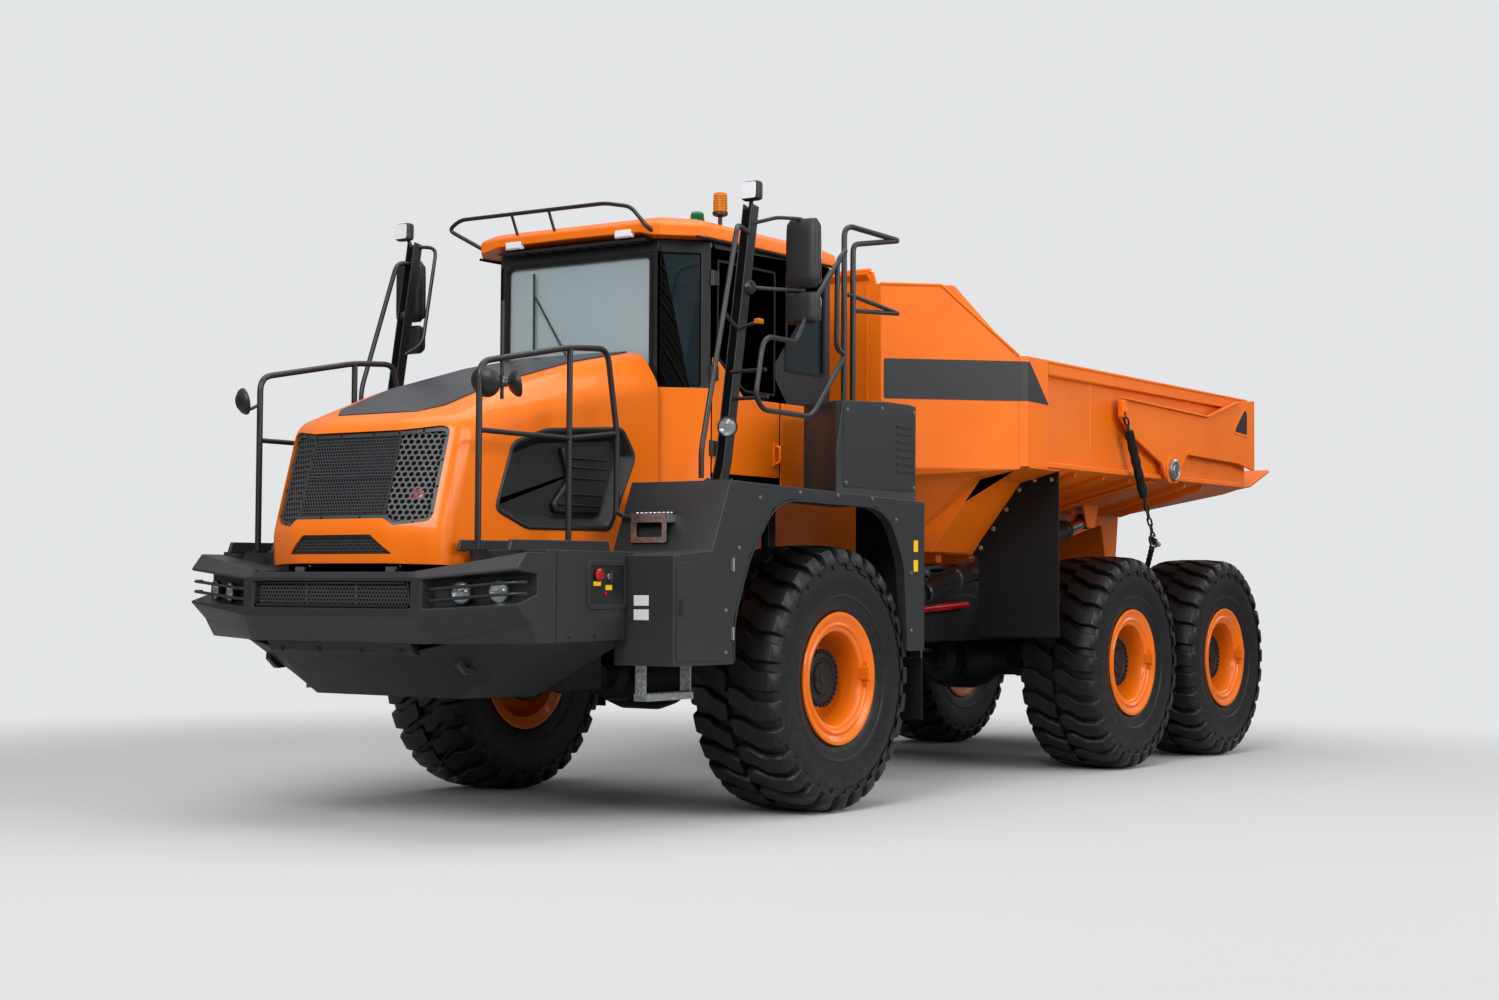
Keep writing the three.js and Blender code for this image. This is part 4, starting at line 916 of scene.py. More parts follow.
def eyePlate(outline, centre, radius, low, high, axis=1):
    # a plate of any outline with a round hole: both edges read at the same angles round the hole's centre
    angle = np.linspace(0, 2 * math.pi, 48, endpoint=False)
    ray = np.stack([np.cos(angle), np.sin(angle)], 1)
    p = np.asarray(outline, float) - centre
    q = np.roll(p, -1, 0) - p
    cross = ray[:, None, 0] * q[None, :, 1] - ray[:, None, 1] * q[None, :, 0]
    cross = np.where(np.abs(cross) < 1e-9, 1e-9, cross)
    reach = (p[None, :, 0] * q[None, :, 1] - p[None, :, 1] * q[None, :, 0]) / cross
    share = (p[None, :, 0] * ray[:, None, 1] - p[None, :, 1] * ray[:, None, 0]) / cross
    reach = np.where((reach > 0) & (share >= 0) & (share <= 1), reach, np.inf).min(1)
    return openFrame(centre + ray * reach[:, None], centre + ray * radius, low, high, axis)


# towing plates, the chin's bolted bar and the sloping plates that close the belly behind it
hook = eyePlate([(2250, 1015), (2450, 1015), (2462, 900), (2400, 848), (2300, 856)], (2384, 920), 34, 672,
                708)
make("towingPlates", bothSides(hook), blackEnamel, "tractor", 4)
chinBar = join(prism([(2628, 1008), (2600, 960), (2560, 944), (2540, 960), (2560, 1008)], -520, 520, 1),
               bolts([(2606, y, 968) for y in (-430, -150, 150, 430)], (0.86, 0, -0.5), 22))
make("chinBar", chinBar, chassisPaint, "tractor", 3)
rows = np.array([[(2560, -760, 1012), (2570, -530, 968), (2570, 530, 968), (2560, 760, 1012)],
                 [(2252, -1060, 1016), (2252, -520, 714), (2252, 520, 714), (2252, 1060, 1016)],
                 [(1640, -1140, 1018), (1640, -520, 706), (1640, 520, 706), (1640, 1140, 1018)]], float)
make("skidPlates", shell(rows, rows + [0, 0, 10]), chassisPaint, "tractor", 3)
print("bumper made")


# galvanised ladders: side plates with rows of raised collars, a tread with pressed teeth, and two bars
ladder = dict(sides=(1200, 1600), plate=8, low=700, x0=1196, x1=1618, barHeight=1100,
              outline=[(1180, 700), (1250, 700), (1250, 1060), (1420, 1085), (1420, 1110), (1180, 1110)],
              collar=[(5, -6), (11, -5.5), (12, -4), (12, 4), (11, 5.5), (5, 6), (5, -6)],
              tooth=[(0, -3), (8, -3), (6, 7), (3, 8), (3, 2), (0, 2)])


def ladderShape():
    x0, x1, low = ladder["x0"], ladder["x1"], ladder["low"]
    parts = []
    for x in ladder["sides"]:
        holes = np.array([(x + ladder["plate"] / 2, y, z) for z in np.arange(735, 1050, 38)
                          for y in (1200, 1230)])
        parts += [prism(rounded(ladder["outline"], 14), x, x + ladder["plate"], 0),
                  copies(revolve(ladder["collar"], origin, forward, 12), holes)]
    parts += [slab(x0, x1, 1180, 1262, low, low + 6), slab(x0, x1, 1180, 1186, low, low + 38),
              slab(x0, x1, 1256, 1262, low, low + 38)]
    teeth = np.array([(x, y, low + 6) for x in np.arange(1215, 1605, 26) for y in (1197, 1221, 1245)])
    return join(*parts, copies(revolve(ladder["tooth"], origin, upward, 8), teeth))


def ladderBar(y, z, radius):
    return pipe([(ladder["x0"], y, z), (ladder["x1"], y, z)], radius, 0, 16)


makePair("ladder", ladderShape(), zincSheet, "tractor", 1, "steps_{}")
ladderBars = join(ladderBar(1400, ladder["barHeight"], 17), ladderBar(1240, ladder["barHeight"] + 4, 14))
make("ladderBars", bothSides(ladderBars), zincPlate, "tractor")
upperStep = join(
    slab(1070, 1345, 935, 1190, 1700, 1706), slab(1070, 1345, 1184, 1190, 1655, 1706),
    prism(rectangle(1070, 1076, 1540, 1706), 935, 1190, 1),
    openFrame(rounded(rectangle(940, 1180, 1545, 1700), 10),
              rounded(rectangle(975, 1150, 1575, 1655), 10), 1339, 1345, 0),
    copies(revolve([(0, -3), (9, -3), (7, 6), (4, 7), (4, 2), (0, 2)], origin, upward, 8),
           [(x, y, 1706) for x in np.arange(1095, 1330, 30) for y in np.arange(955, 1180, 30)]))
makePair("upperStep", upperStep, zincSheet, "tractor", 1)
print("steps made")

# cab
skin("CabFrame", "cab_shell", blackEnamel, "tractor", 8)
skin("DoorFrame", "cab_door", blackEnamel, "door", 5)
for node, body, material in (("windshield", "tractor", tintedGlassPaintedReflection), ("side_window", "tractor", darkGlass),
                             ("rear_window", "tractor", darkGlass), ("quarter_window", "tractor", darkGlass),
                             ("door_glass", "door", darkGlass)):
    skin(titled(node), node, material, body, 1.5)

cab = dict(back=-872, belt=2435, sill=1890)
# orange outer panels: the slanted front corners, the panel behind the door and the whole right flank
corner = prism([(664, 597), (433, 820), (428, 815), (659, 592)], cab["sill"], 2470, 2)
make("cabCorners", bothSides(corner), orangeEnamel, "tractor", 3)
rearPanel = prism(rectangle(cab["back"], -304, cab["sill"], cab["belt"]), 813, 821, 1)
make("cabRearPanelLeft", rearPanel, orangeEnamel, "tractor", 3)
rightFlank = mirrored(prism(rectangle(cab["back"], 430, cab["sill"], 2285), 813, 821, 1))
make("cabFlankRight", rightFlank, orangeEnamel, "tractor", 3)
doorSkin = prism([(-286, 1974), (416, 1974), (416, 2652), (374, 2652), (86, cab["belt"]),
                  (-286, cab["belt"])], 812, 822, 1)
make("doorSkin", doorSkin, orangeEnamel, "door", 4)
make("doorHandle",
     join(prism(rounded(rectangle(-262, -218, 2040, 2190), 12), 821, 830, 1),
          pipe([(-240, 828, 2062), (-240, 858, 2070), (-240, 858, 2160), (-240, 828, 2168)], 9, 14, 10)),
     orangeEnamel, "door", 2)
make("doorHinges", join(*[join(slab(380, 429, 820, 838, z - 42, z + 42),
                               pin(15, -46, 46, (427, 819, z), upward, 16))
                          for z in (2120, 2560, 3120)]), blackEnamel, "door", 2)

quarter = prism([(650, 594), (655, 600), (478, 765), (472, 759)], 2486, 3254, 2)
make("frontQuarterGlass", bothSides(quarter), darkGlass, "tractor", 1)


def gasket(outline, band, low, high, axis):
    outline = rounded(outline, 30)
    return openFrame(outline, inset(outline, band), low, high, axis)


gaskets = [
    openFrame(rounded(rectangle(-560, 560, 2474, 3266), 40),
              rounded(rectangle(-538, 538, 2498, 3242), 40), 655, 668, 0),
    gasket(rectangle(-806, -354, 2634, 3256), 22, 810, 820, 1),
    mirrored(gasket(rectangle(-806, 386, 2294, 3256), 22, 810, 820, 1)),
    openFrame(rounded(rectangle(-646, 646, 2634, 3256), 40),
              rounded(rectangle(-624, 624, 2656, 3234), 40), -876, -866, 0),
]
make("windowGaskets", join(*gaskets), sheetRubber, "tractor", 2)
doorOpening = rounded([(372, 2655), (372, 3238), (-242, 3238), (-242, 2472), (82, 2472)], 24)
make("doorGasket", openFrame(doorOpening, inset(doorOpening, 16), 811, 819, 1), sheetRubber, "door", 2)

# underside of the roof's front lip: a black liner with a row of vents and two lamps
liner = join(prism(rectangle(664, 742, -560, 560), 3322, 3340, 2),
             *[slab(690, 730, y - 34, y + 34, 3316, 3324) for y in np.arange(-480, 481, 96)])
make("roofLiner", liner, blackPlastic, "tractor", 3)
make("roofLamps",
     join(*[join(slab(752, 774, y - 60, y + 60, 3352, 3392), slab(744, 766, y - 66, y + 66, 3346, 3398))
            for y in (-420, 420)]), lampFace, "tractor", 4)

# what shows of the inside through the glass
make("cabFloorMat", slab(-820, 610, -560, 560, 1921, 1930), sheetRubber, "tractor", 3)
make("rearConsole", join(slab(-840, -640, -700, 700, 1925, 2560), slab(-560, -60, -760, -420, 1925, 2420),
                         slab(-760, -420, 420, 700, 1925, 2250)), cabLining, "tractor", 22)
dash = prism([(392, 1925), (600, 1925), (600, 2440), (470, 2590), (400, 2560)], -520, 520, 1)
cluster = prism([(380, 2540), (470, 2560), (440, 2690), (400, 2680)], -190, 190, 1)
column = pipe([(470, 0, 2240), (350, 0, 2530), (262, 0, 2662)], [50, 42, 34], 0, 16)
make("dashboardTrim", join(dash, cluster, column), cabLining, "tractor", 16, ["dashboard"], segments=3)
wheelAxis = np.array([0.616, 0, -0.788])
rimAngle = np.linspace(0, 2 * math.pi, 41)
u, v, w = basis(wheelAxis)
wheelCentre = np.array([240.0, 0, 2690.0])
rimPath = wheelCentre + 205 * (np.cos(rimAngle)[:, None] * u + np.sin(rimAngle)[:, None] * v)
spokes = [pipe([wheelCentre, wheelCentre + 200 * (math.cos(a) * u + math.sin(a) * v)], 12, 0, 10)
          for a in (0.4, 2.74, 4.71)]
make("steeringWheel",
     join(pipe(rimPath, 15, 0, 12), *spokes,
          revolve([(0, -14), (46, -12), (52, 0), (44, 14), (0, 18)], wheelCentre, -wheelAxis, 24)),
     blackPlastic, "tractor")
make("monitor",
     join(slab(452, 480, -690, -430, 2800, 2990), pipe([(480, -560, 2800), (500, -560, 2600)], 14, 0, 10)),
     blackPlastic, "tractor", 6)
make("monitorScreen", slab(447, 452, -672, -448, 2820, 2972), mirrorFilm, "tractor", 1)
wiperArm = join(pipe([(676, 150, 2475), (690, -20, 2620), (684, -330, 3080)], [11, 9, 6], 30, 10),
                revolve([(0, -14), (20, -14), (20, 14), (0, 18)], (672, 150, 2475), forward, 20))
wiperBlade = pipe([(676, -330, 2720), (678, -330, 3200)], 8, 0, 8)
make("windshieldWiper", join(wiperArm, wiperBlade), blackEnamel, "tractor")
make("rearGuardMesh",
     join(*[pipe([(-884, y, 2640), (-884, y, 3250)], 4, 0, 6) for y in np.arange(-620, 621, 62)],
          *[pipe([(-884, -640, z), (-884, 640, z)], 4, 0, 6) for z in np.arange(2660, 3250, 62)],
          pipe([(-884, -650, 2630), (-884, 650, 2630), (-884, 650, 3262), (-884, -650, 3262),
                (-884, -650, 2630)], 9, 0, 8)), blackEnamel, "tractor")
print("cab made")


def cushion(size, crown, seams=(), n=33):
    # a stuffed pad as a closed grid: the top bows out by crown x (1-u^2)(1-v^2) and is pulled in along seams
    u, v = np.meshgrid(np.linspace(-1, 1, n), np.linspace(-1, 1, n), indexing="ij")
    squeeze = (1 - np.abs(u) ** 6) ** 0.25 * (1 - np.abs(v) ** 6) ** 0.25
    dip = sum((np.exp(-((v - s) / 0.035) ** 2) for s in seams), 0 * v)
    rise = squeeze * (size[2] / 2 + crown * (1 - u ** 2) * (1 - v ** 2)) - dip * squeeze * 9
    plan = np.stack([u * size[0] / 2 * (1 - 0.04 * v ** 2), v * size[1] / 2 * (1 - 0.05 * u ** 2)], -1)
    top = np.concatenate([plan, rise[..., None]], -1)
    bottom = np.concatenate([plan, -squeeze[..., None] * size[2] / 2], -1)
    return shell(top, bottom)


def turned(shape, degrees):
    # turned about the y axis
    a = math.radians(degrees)
    turn = np.array([[math.cos(a), 0, math.sin(a)], [0, 1, 0], [-math.sin(a), 0, math.cos(a)]])
    return shape[0] @ turn.T, shape[1]


seatPad = moved(cushion((500, 520, 120), 26, (-0.62, 0.62)), (-210, 0, 2290))
backPad = moved(turned(cushion((660, 500, 120), 22, (-0.6, 0.6)), -102), (-455, 0, 2660))
headPad = moved(turned(cushion((190, 270, 90), 16), -102), (-530, 0, 3060))
for name, made, replaced, fill in (("seatCushion", seatPad, ["seat"], 0.8), ("backCushion", backPad, [], 0.8),
                                   ("headCushion", headPad, [], 0.9)):
    pad = make(name, made, seatCloth, "tractor", replaces=replaced, smooth=50)
make("seatFrame",
     join(slab(-430, 10, -235, 235, 2200, 2236), slab(-380, -60, -180, 180, 2060, 2204),
          slab(-420, -20, -220, 220, 1930, 1975),
          pipe([(-500, -170, 2960), (-545, -170, 3000), (-530, -90, 3010)], 9, 10, 8),
          pipe([(-500, 90, 2950), (-530, 90, 3010)], 9, 0, 8),
          pipe([(-500, -90, 2950), (-530, -90, 3010)], 9, 0, 8),
          prism([(-430, 2210), (-330, 2210), (-500, 3000), (-560, 3000)], -200, 200, 1)), blackPlastic,
     "tractor", 12)
make("armRests", join(*[slab(-420, -110, y - 35, y + 35, 2450, 2500) for y in (-310, 310)],
                      *[pipe([(-160, y, 2500), (-150, y, 2600)], [12, 20], 0, 12) for y in (-310, 310)]),
     blackPlastic, "tractor", 14)
print("seat made")

# roof plan from the right rear corner round the front, with the lip's height at each corner
roofPlan = np.array([(-880, -848), (200, -848), (520, -848), (575, -838), (690, -745), (758, -690),
                     (768, -640), (770, -540), (770, 0), (770, 540), (768, 640), (758, 690), (690, 745),
                     (575, 838), (520, 848), (200, 848), (-880, 848)], float)
roofDrop = np.array([3346, 3350, 3346, 3344, 3341, 3341, 3344, 3368, 3372, 3368, 3344, 3341, 3341, 3344, 3346,
                     3350, 3346], float)


def roofRing(inset, height, follow=0.0):
    # the plan drawn in towards the middle line, at a height that follows the lip's hang by a share
    middle = np.array([-60.0, 0])
    reach = roofPlan - middle
    scale = 1 - inset / np.array([830.0, 848.0])
    z = height + follow * (roofDrop - 3346)
    return np.column_stack([middle + reach * scale, np.broadcast_to(z, len(roofPlan))])


roofRings = [roofRing(46, 3346, 1), roofRing(4, 3346, 1), roofRing(0, 3352, 1), roofRing(0, 3404, 0.4),
             roofRing(6, 3418, 0.3), roofRing(44, 3440, 0.1), roofRing(84, 3460), roofRing(108, 3466),
             roofRing(230, 3469), roofRing(245, 3475), roofRing(420, 3484)]
make("roofShell", loft(roofRings), orangeEnamel, "tractor", 5, ["cab_roof"], smooth=24)
make("roofGutter", join(*[pipe([(600, f * 836, 3340), (-872, f * 836, 3344)], 9, 0, 8) for f in (1, -1)]),
     sheetRubber, "tractor")

guardPath = [(728, -655, 3352), (790, -930, 3506), (790, -835, 3560), (790, 300, 3557), (790, 492, 3520),
             (790, 612, 3392), (728, 650, 3345)]
guardRail = pipe(guardPath, 12.5, 46, 12)
struts = [pipe([(790, y, 3558), (752, y + 4, 3470), (700, y + 10, 3352)], 9, 24, 8) for y in (-420, -130)]
make("roofGuardRail", join(guardRail, *struts), blackEnamel, "tractor")


def beaconShape(x, foot, low, high, radius):
    u = (0, 0, 1)
    place = (x, 618, 0)
    stem = revolve([(0, 3462), (34, 3462), (34, 3472), (foot, 3476), (foot, low - 30),
                    (radius * 0.7, low - 24), (radius, low - 16), (radius, low), (0, low)], place, u, 28)
    rings = [(0, low + 1)]
    for k, z in enumerate(np.linspace(low + 1, high - 14, 15)):
        rings.append((radius * (0.96 if k % 2 else 0.90) - 0.04 * radius * k / 15, z))
    rings += [(radius * 0.8, high - 6), (radius * 0.5, high - 1), (0, high)]
    return stem, revolve(rings, place, u, 32)


amberStem, amberDome = beaconShape(67, 13, 3578, 3699, 47)
greenStem, greenDome = beaconShape(303, 20, 3498, 3548, 44)
make("beaconFeet",
     join(amberStem, greenStem,
          revolve([(0, 3590), (26, 3590), (30, 3640), (14, 3680), (0, 3682)], (67, 618, 0), upward, 20)),
     blackPlastic, "tractor")
make("amberBeacon", amberDome, amberLens, "tractor")
make("greenBeacon", greenDome, greenLens, "tractor")

stack = revolve([(0, 1705), (60, 1705), (76, 1730), (76, 2060), (78, 2062), (78, 2100), (76, 2102),
                 (76, 2760), (78, 2762), (78, 2800), (76, 2802), (76, 3120), (60, 3146), (56, 3150),
                 (0, 3150)], (-960, -600, 0), upward, 36)
outlet = pipe([(-960, -600, 3130), (-960, -600, 3270), (-1040, -600, 3376)], 52, 70, 24)
heatShield = join(*[revolve([(80, z), (83, z), (83, z + 24), (80, z + 24)], (-960, -600, 0), upward, 36)
                    for z in range(2160, 2740, 60)])
make("exhaustStack", join(stack, outlet, slab(-985, -871, -650, -550, 1990, 2070), heatShield),
     zincSheet, "tractor", 1.5, ["exhaust_stack"])
print("roof made")

# fenders and the boxes beside the cab
for side in ("left", "right"):
    skin("Fender" + side.title(), "fender_" + side, greyEnamel, "tractor", 5)

archLine = np.array([(1140, 900), (1140, 1130), (990, 1480), (770, 1740), (600, 1800), (-330, 1790),
                     (-505, 1708), (-655, 1462), (-700, 930)], float)
archPath = bendPath(np.column_stack([archLine[:, 0], np.full(len(archLine), 1478.0), archLine[:, 1]]), 90)


def archLip():
    # a flat band swept along the wheel arch, 9 mm thick and 60 mm deep, standing a little proud of the skirt
    tangent = np.gradient(archPath, axis=0)
    tangent /= np.linalg.norm(tangent, axis=1)[:, None]
    inward = np.cross(tangent, sideways)
    if inward[len(inward) // 2, 2] > 0:
        inward = -inward
    corners = [(-2, -44), (-2, 16), (7, 16), (7, -44)]
    rings = [archPath + inward * a + np.array([0, b, 0]) for a, b in corners]
    return loft(np.stack(rings, 1))


skirtBolts = bolts([(x, 1491, z)
                    for x, z in ((1220, 955), (1220, 1180), (1100, 1520), (900, 1800), (500, 1845),
                                 (100, 1842), (-280, 1838), (-560, 1720), (-740, 1400), (-740, 1050))],
                   sideways, 16)

deck = dict(height=1885, front=1180, length=2085, fall=45)


def deckHeight(x):
    return deck["height"] - (deck["front"] - x) * deck["fall"] / deck["length"]


def treads(x0, x1, y0, y1, pitch, angle=0.6, length=34, width=7, rise=3.0):
    # raised five-bar pattern: short rounded bars turned alternately, laid on the deck plane
    count = (int((x1 - x0) / pitch), int((y1 - y0) / pitch))
    i, j = np.meshgrid(np.arange(count[0]), np.arange(count[1]), indexing="ij")
    centre = np.stack([x0 + (i + 0.5) * pitch, y0 + (j + 0.5) * pitch], -1).reshape(-1, 2)
    turn = np.where((i + j) % 2, angle, -angle).reshape(-1) + math.pi / 4
    along = np.stack([np.cos(turn), np.sin(turn)], -1)
    across = np.stack([-np.sin(turn), np.cos(turn)], -1)
    outline = np.array([(-1, 0), (-0.6, -1), (0.6, -1), (1, 0), (0.6, 1), (-0.6, 1)])

    def corners(share, size):
        return (centre[:, None] + outline[None, :, :1] * along[:, None] * length * share
                + outline[None, :, 1:] * across[:, None] * width * size)

    low, high = corners(0.5, 0.5), corners(0.36, 0.28)
    points = np.concatenate([np.dstack([low, deckHeight(low[..., 0])[..., None] - 0.5]),
                             np.dstack([high, deckHeight(high[..., 0])[..., None] + rise])], 1)
    near, far = np.arange(6), np.arange(6) + 6
    return points.reshape(-1, 3), repeated([loopQuads(near, far), near[None, ::-1], far[None]], len(centre),
                                           12)


deckTread = join(treads(120, 1140, 900, 1440, 42), treads(-30, 120, 840, 990, 42))
make("fenderTrim", bothSides(archLip()), greyEnamel, "tractor", 1.5)
make("fenderBolts", bothSides(skirtBolts), zincPlate, "tractor")
make("deckTread", bothSides(deckTread), greyEnamel, "tractor")

hinge = join(slab(1150, 1176, 1489, 1497, 1352, 1420), pin(8, -36, 36, (1163, 1500, 1386), upward, 12))
hinges = copies(hinge, [(0, 0, 40), (0, 0, -330)])
make("boxHinges", bothSides(hinges), zincPlate, "tractor", 1)
# the locker door in the front box: a proud plate with a rounded corner, and its recessed latch
locker = prism(rounded([(1262, 915), (1664, 915), (1664, 1428), (1330, 1466), (1262, 1500)], 26), 1489, 1495,
               1)
make("lockerDoor", bothSides(locker), greyEnamel, "tractor", 2)
latch = join(prism(rounded(rectangle(1606, 1644, 1150, 1250), 8), 1494, 1499, 1),
             prism(rounded(rectangle(1614, 1636, 1166, 1234), 6), 1498, 1503, 1))
make("lockerLatch", bothSides(latch), blackPlastic, "tractor", 1.5)
plates = join(slab(1690, 1693, 1232, 1330, 1205, 1260), slab(1690, 1693, 1232, 1330, 1130, 1186))
make("frontPlates", plates, paleFilm, "tractor", 1)
rearFlap = prism([(-912, 500), (-920, 500), (-916, 940), (-908, 940)], 1010, 1470, 1)
flapStrip = join(slab(-906, -898, 1010, 1470, 880, 935),
                 bolts([(-920, y, 908) for y in np.linspace(1050, 1430, 4)], (-1, 0, 0), 18))
make("fenderFlaps", bothSides(rearFlap), sheetRubber, "tractor", 2)
make("fenderFlapStrips", bothSides(flapStrip), zincPlate, "tractor", 1)
yellowPlates = join(slab(-820, -770, 1490, 1492, 1530, 1600), slab(-820, -770, 1490, 1492, 1410, 1480))
make("yellowPlates", bothSides(yellowPlates), yellowFilm, "tractor", 0.6)
# upright box behind the door: cover plate, rounded edge and vents
topPlate = prism(rounded(rectangle(-868, -512, 1012, 1428), 30), 2430, 2437, 2)
ventSlots = [prism(rounded(rectangle(-840, -640, z, z + 16), 8), 1439, 1443, 1)
             for z in range(2010, 2300, 46)]
boxCover = prism(rounded([(-866, 1900), (-30, 1900), (-44, 2380), (-490, 2412), (-866, 2412)], 24), 1439,
                 1444, 1)
make("sideBoxCover", bothSides(join(topPlate, boxCover)), greyEnamel, "tractor", 3)
make("sideBoxVents", bothSides(join(*[moved(v, (0, 5, 0)) for v in ventSlots])), blackPlastic, "tractor", 1.5)
make("sideBoxBolts",
     bothSides(bolts([(x, 1444, z)
                      for x, z in ((-845, 1925), (-60, 1925), (-845, 2390), (-470, 2390), (-75, 2355))],
                     sideways, 16)), zincPlate, "tractor")
print("fenders made")

# handrails, posts and mirrors
railFoot = 1481


def footPlate(x, y, z=railFoot):
    return join(slab(x - 42, x + 42, y - 32, y + 32, z - 1, z + 9),
                bolts([(x - 28, y, z + 9), (x + 28, y, z + 9)], upward, 14))


def leftRail(y):
    return join(pipe([(2440, y, railFoot), (2440, y, 2450), (1714, y, 2590), (1391, y, 2612), (1300, y, 2150),
                      (1300, y, 1700)], 17, 80, 14), pipe([(1714, y, railFoot), (1714, y, 2588)], 17, 0, 14),
                pipe([(2440, y, 2100), (1714, y, 2100), (1308, y, 2150)], 14, 40, 12),
                pipe([(1300, y, 1720), (1300, y + 60, 1690), (1300, y + 180, 1670)], 15, 24, 12),
                footPlate(2440, y), footPlate(1714, y))


makePair("handrail", leftRail(803), blackEnamel, "tractor", 0, "handrail_{}")


def roundMirror(centre, aim, radius):
    back = revolve([(0, -40), (radius * 0.5, -34), (radius * 0.9, -12), (radius, 2), (radius, 8),
                    (radius * 0.94, 9), (radius * 0.93, 3), (0, 3)], centre, aim, 36)
    glass = revolve([(0, 3.5), (radius * 0.93, 3.5), (radius * 0.9, 5), (radius * 0.5, 9), (0, 11)], centre,
                    aim, 36)
    return back, glass


towardCab = np.array([-0.93, -0.25, 0.27])
roundA, faceA = roundMirror((2405, 812, 2348), towardCab, 82)
roundB, faceB = roundMirror((2150, 800, 2360), np.array([-0.80, 0.50, 0.2]), 72)
roundC, faceC = roundMirror((2560, -803, 2306), np.array([-0.9, 0.35, 0.2]), 74)
mirrorTube = join(pipe([(2265, 803, 2270), (2265, 803, 2560), (2265, 803, 2780)], 10, 0, 10),
                  pipe([(2420, 812, 2350), (2265, 806, 2362), (2165, 800, 2362)], 9, 20, 10),
                  slab(2240, 2290, 788, 822, 2335, 2390),
                  pipe([(2440, -803, 2300), (2520, -803, 2262), (2570, -803, 2306)], 9, 24, 10))
make("roundMirrors", join(roundA, roundB, roundC, mirrorTube), blackPlastic, "tractor")
make("roundMirrorFaces", join(faceA, faceB, faceC), mirrorFilm, "tractor")
make("mirrorClamps",
     join(slab(2248, 2282, 784, 826, 2352, 2372),
          bolts([(2256, 826, 2378), (2274, 826, 2378)], sideways, 12)), zincPlate, "tractor", 2)


def boxPost(path, width, depth):
    # an open C section along a path: web outside, two flanges towards the back
    path = np.asarray(path, float)
    side = np.array([0, 1.0, 0])
    tangent = np.gradient(path, axis=0)
    tangent /= np.linalg.norm(tangent, axis=1)[:, None]
    normal = np.cross(tangent, side)
    section = [(-width / 2, -depth / 2), (-width / 2, depth / 2), (width / 2, depth / 2),
               (width / 2, -depth / 2), (width / 2 - 5, -depth / 2), (width / 2 - 5, depth / 2 - 5),
               (-width / 2 + 5, depth / 2 - 5), (-width / 2 + 5, -depth / 2)]
    rings = [path + a * side + b * normal for a, b in section]
    return loft(np.stack(rings, 1))


def mirrorCase(x, y, z0, z1, width, depth):
    # a rounded box whose back bows out: squircle sections from bottom to top
    z = np.linspace(0, 1, 15)
    swell = (1 - np.abs(2 * z - 1) ** 5) ** 0.3
    angle = np.linspace(0, 2 * math.pi, 33)[:-1]
    squircle = lambda t: np.sign(np.cos(t)) * np.abs(np.cos(t)) ** 0.55
    a = squircle(angle)[None] * depth / 2 * (0.55 + 0.45 * swell)[:, None]
    b = squircle(angle - math.pi / 2)[None] * width / 2 * (0.82 + 0.18 * swell)[:, None]
    height = (z0 + (z1 - z0) * z)[:, None]
    return loft(np.dstack([x + a, y + b, np.broadcast_to(height, a.shape)]))


post = join(boxPost([(1000, 1288, 1886), (962, 1288, 2000), (835, 1288, 2730), (709, 1288, 3462)], 62, 74),
            slab(930, 1070, 1230, 1346, 1885.5, 1897),
            bolts([(x, y, 1897) for x in (950, 1050) for y in (1245, 1331)], upward, 18),
            pipe([(730, 1288, 3352), (640, 1420, 3392), (512, 1515, 3392), (510, 1515, 3330)], 11, 30, 12),
            pipe([(790, 1288, 2990), (640, 1400, 2985), (510, 1515, 2985)], 11, 30, 12),
            pipe([(510, 1515, 2900), (510, 1515, 3100)], 11, 0, 12),
            revolve([(0, -30), (40, -26), (46, 0), (34, 26), (0, 30)], (765, 1318, 2990), (0, 1, 0.2), 20))
# the left post is braced from the deck beside the door, the right one from in front of the cab
leftBraces = [pipe([(1385, 1442, 1885), (1385, 1442, 2036), (1067, 1442, 3266), (1010, 1410, 3296),
                    (744, 1300, 3300)], 15, 46, 12),
              pipe([(1180, 1442, 2790), (1000, 1380, 2750), (822, 1300, 2742)], 11, 30, 10),
              pipe([(862, 1310, 2745), (850, 1400, 2770), (836, 1442, 2782)], 11, 20, 10)]
rightBraces = [pipe([(1168, 1288, 1886), (1168, 1288, 2503), (867, 1288, 3323), (740, 1288, 3330)], 15, 60,
                    12),
               pipe([(716, 1270, 3440), (606, 1200, 3445), (723, 1200, 2822), (820, 1270, 2745)], 12, 60, 10)]
make("mirrorPostLeft", join(post, *leftBraces), blackEnamel, "tractor", 2, ["mirror_post_left"])
make("mirrorPostRight", mirrored(join(post, *rightBraces)), blackEnamel, "tractor", 2, ["mirror_post_right"])
makePair("mirrorCases",
         join(mirrorCase(510, 1512, 3000, 3390, 212, 80), mirrorCase(510, 1512, 2796, 2974, 212, 80)),
         blackPlastic, "tractor")
mirrorGlass = [rounded(rectangle(1416, 1608, low, high), radius)
               for low, high, radius in ((3018, 3372, 34), (2812, 2960, 30))]
makePair("mirrorFaces", join(*[prism(outline, 467, 470.5, 0) for outline in mirrorGlass]), mirrorFilm,
         "tractor", 1)
makePair("postLamp",
         join(mirrorCase(760, 1330, 3478, 3586, 118, 74),
              pipe([(730, 1300, 3440), (748, 1318, 3500)], 12, 0, 10)), blackPlastic, "tractor")
makePair("postLampLens", prism(rounded(rectangle(1280, 1380, 3486, 3578), 16), 796, 801, 0),
         lampFace, "tractor", 2)
marker = rounded(rectangle(1424, 1458, 2766, 2796), 8)
make("markerLamp", prism(marker, 822, 872, 0), amberLens, "tractor", 4)
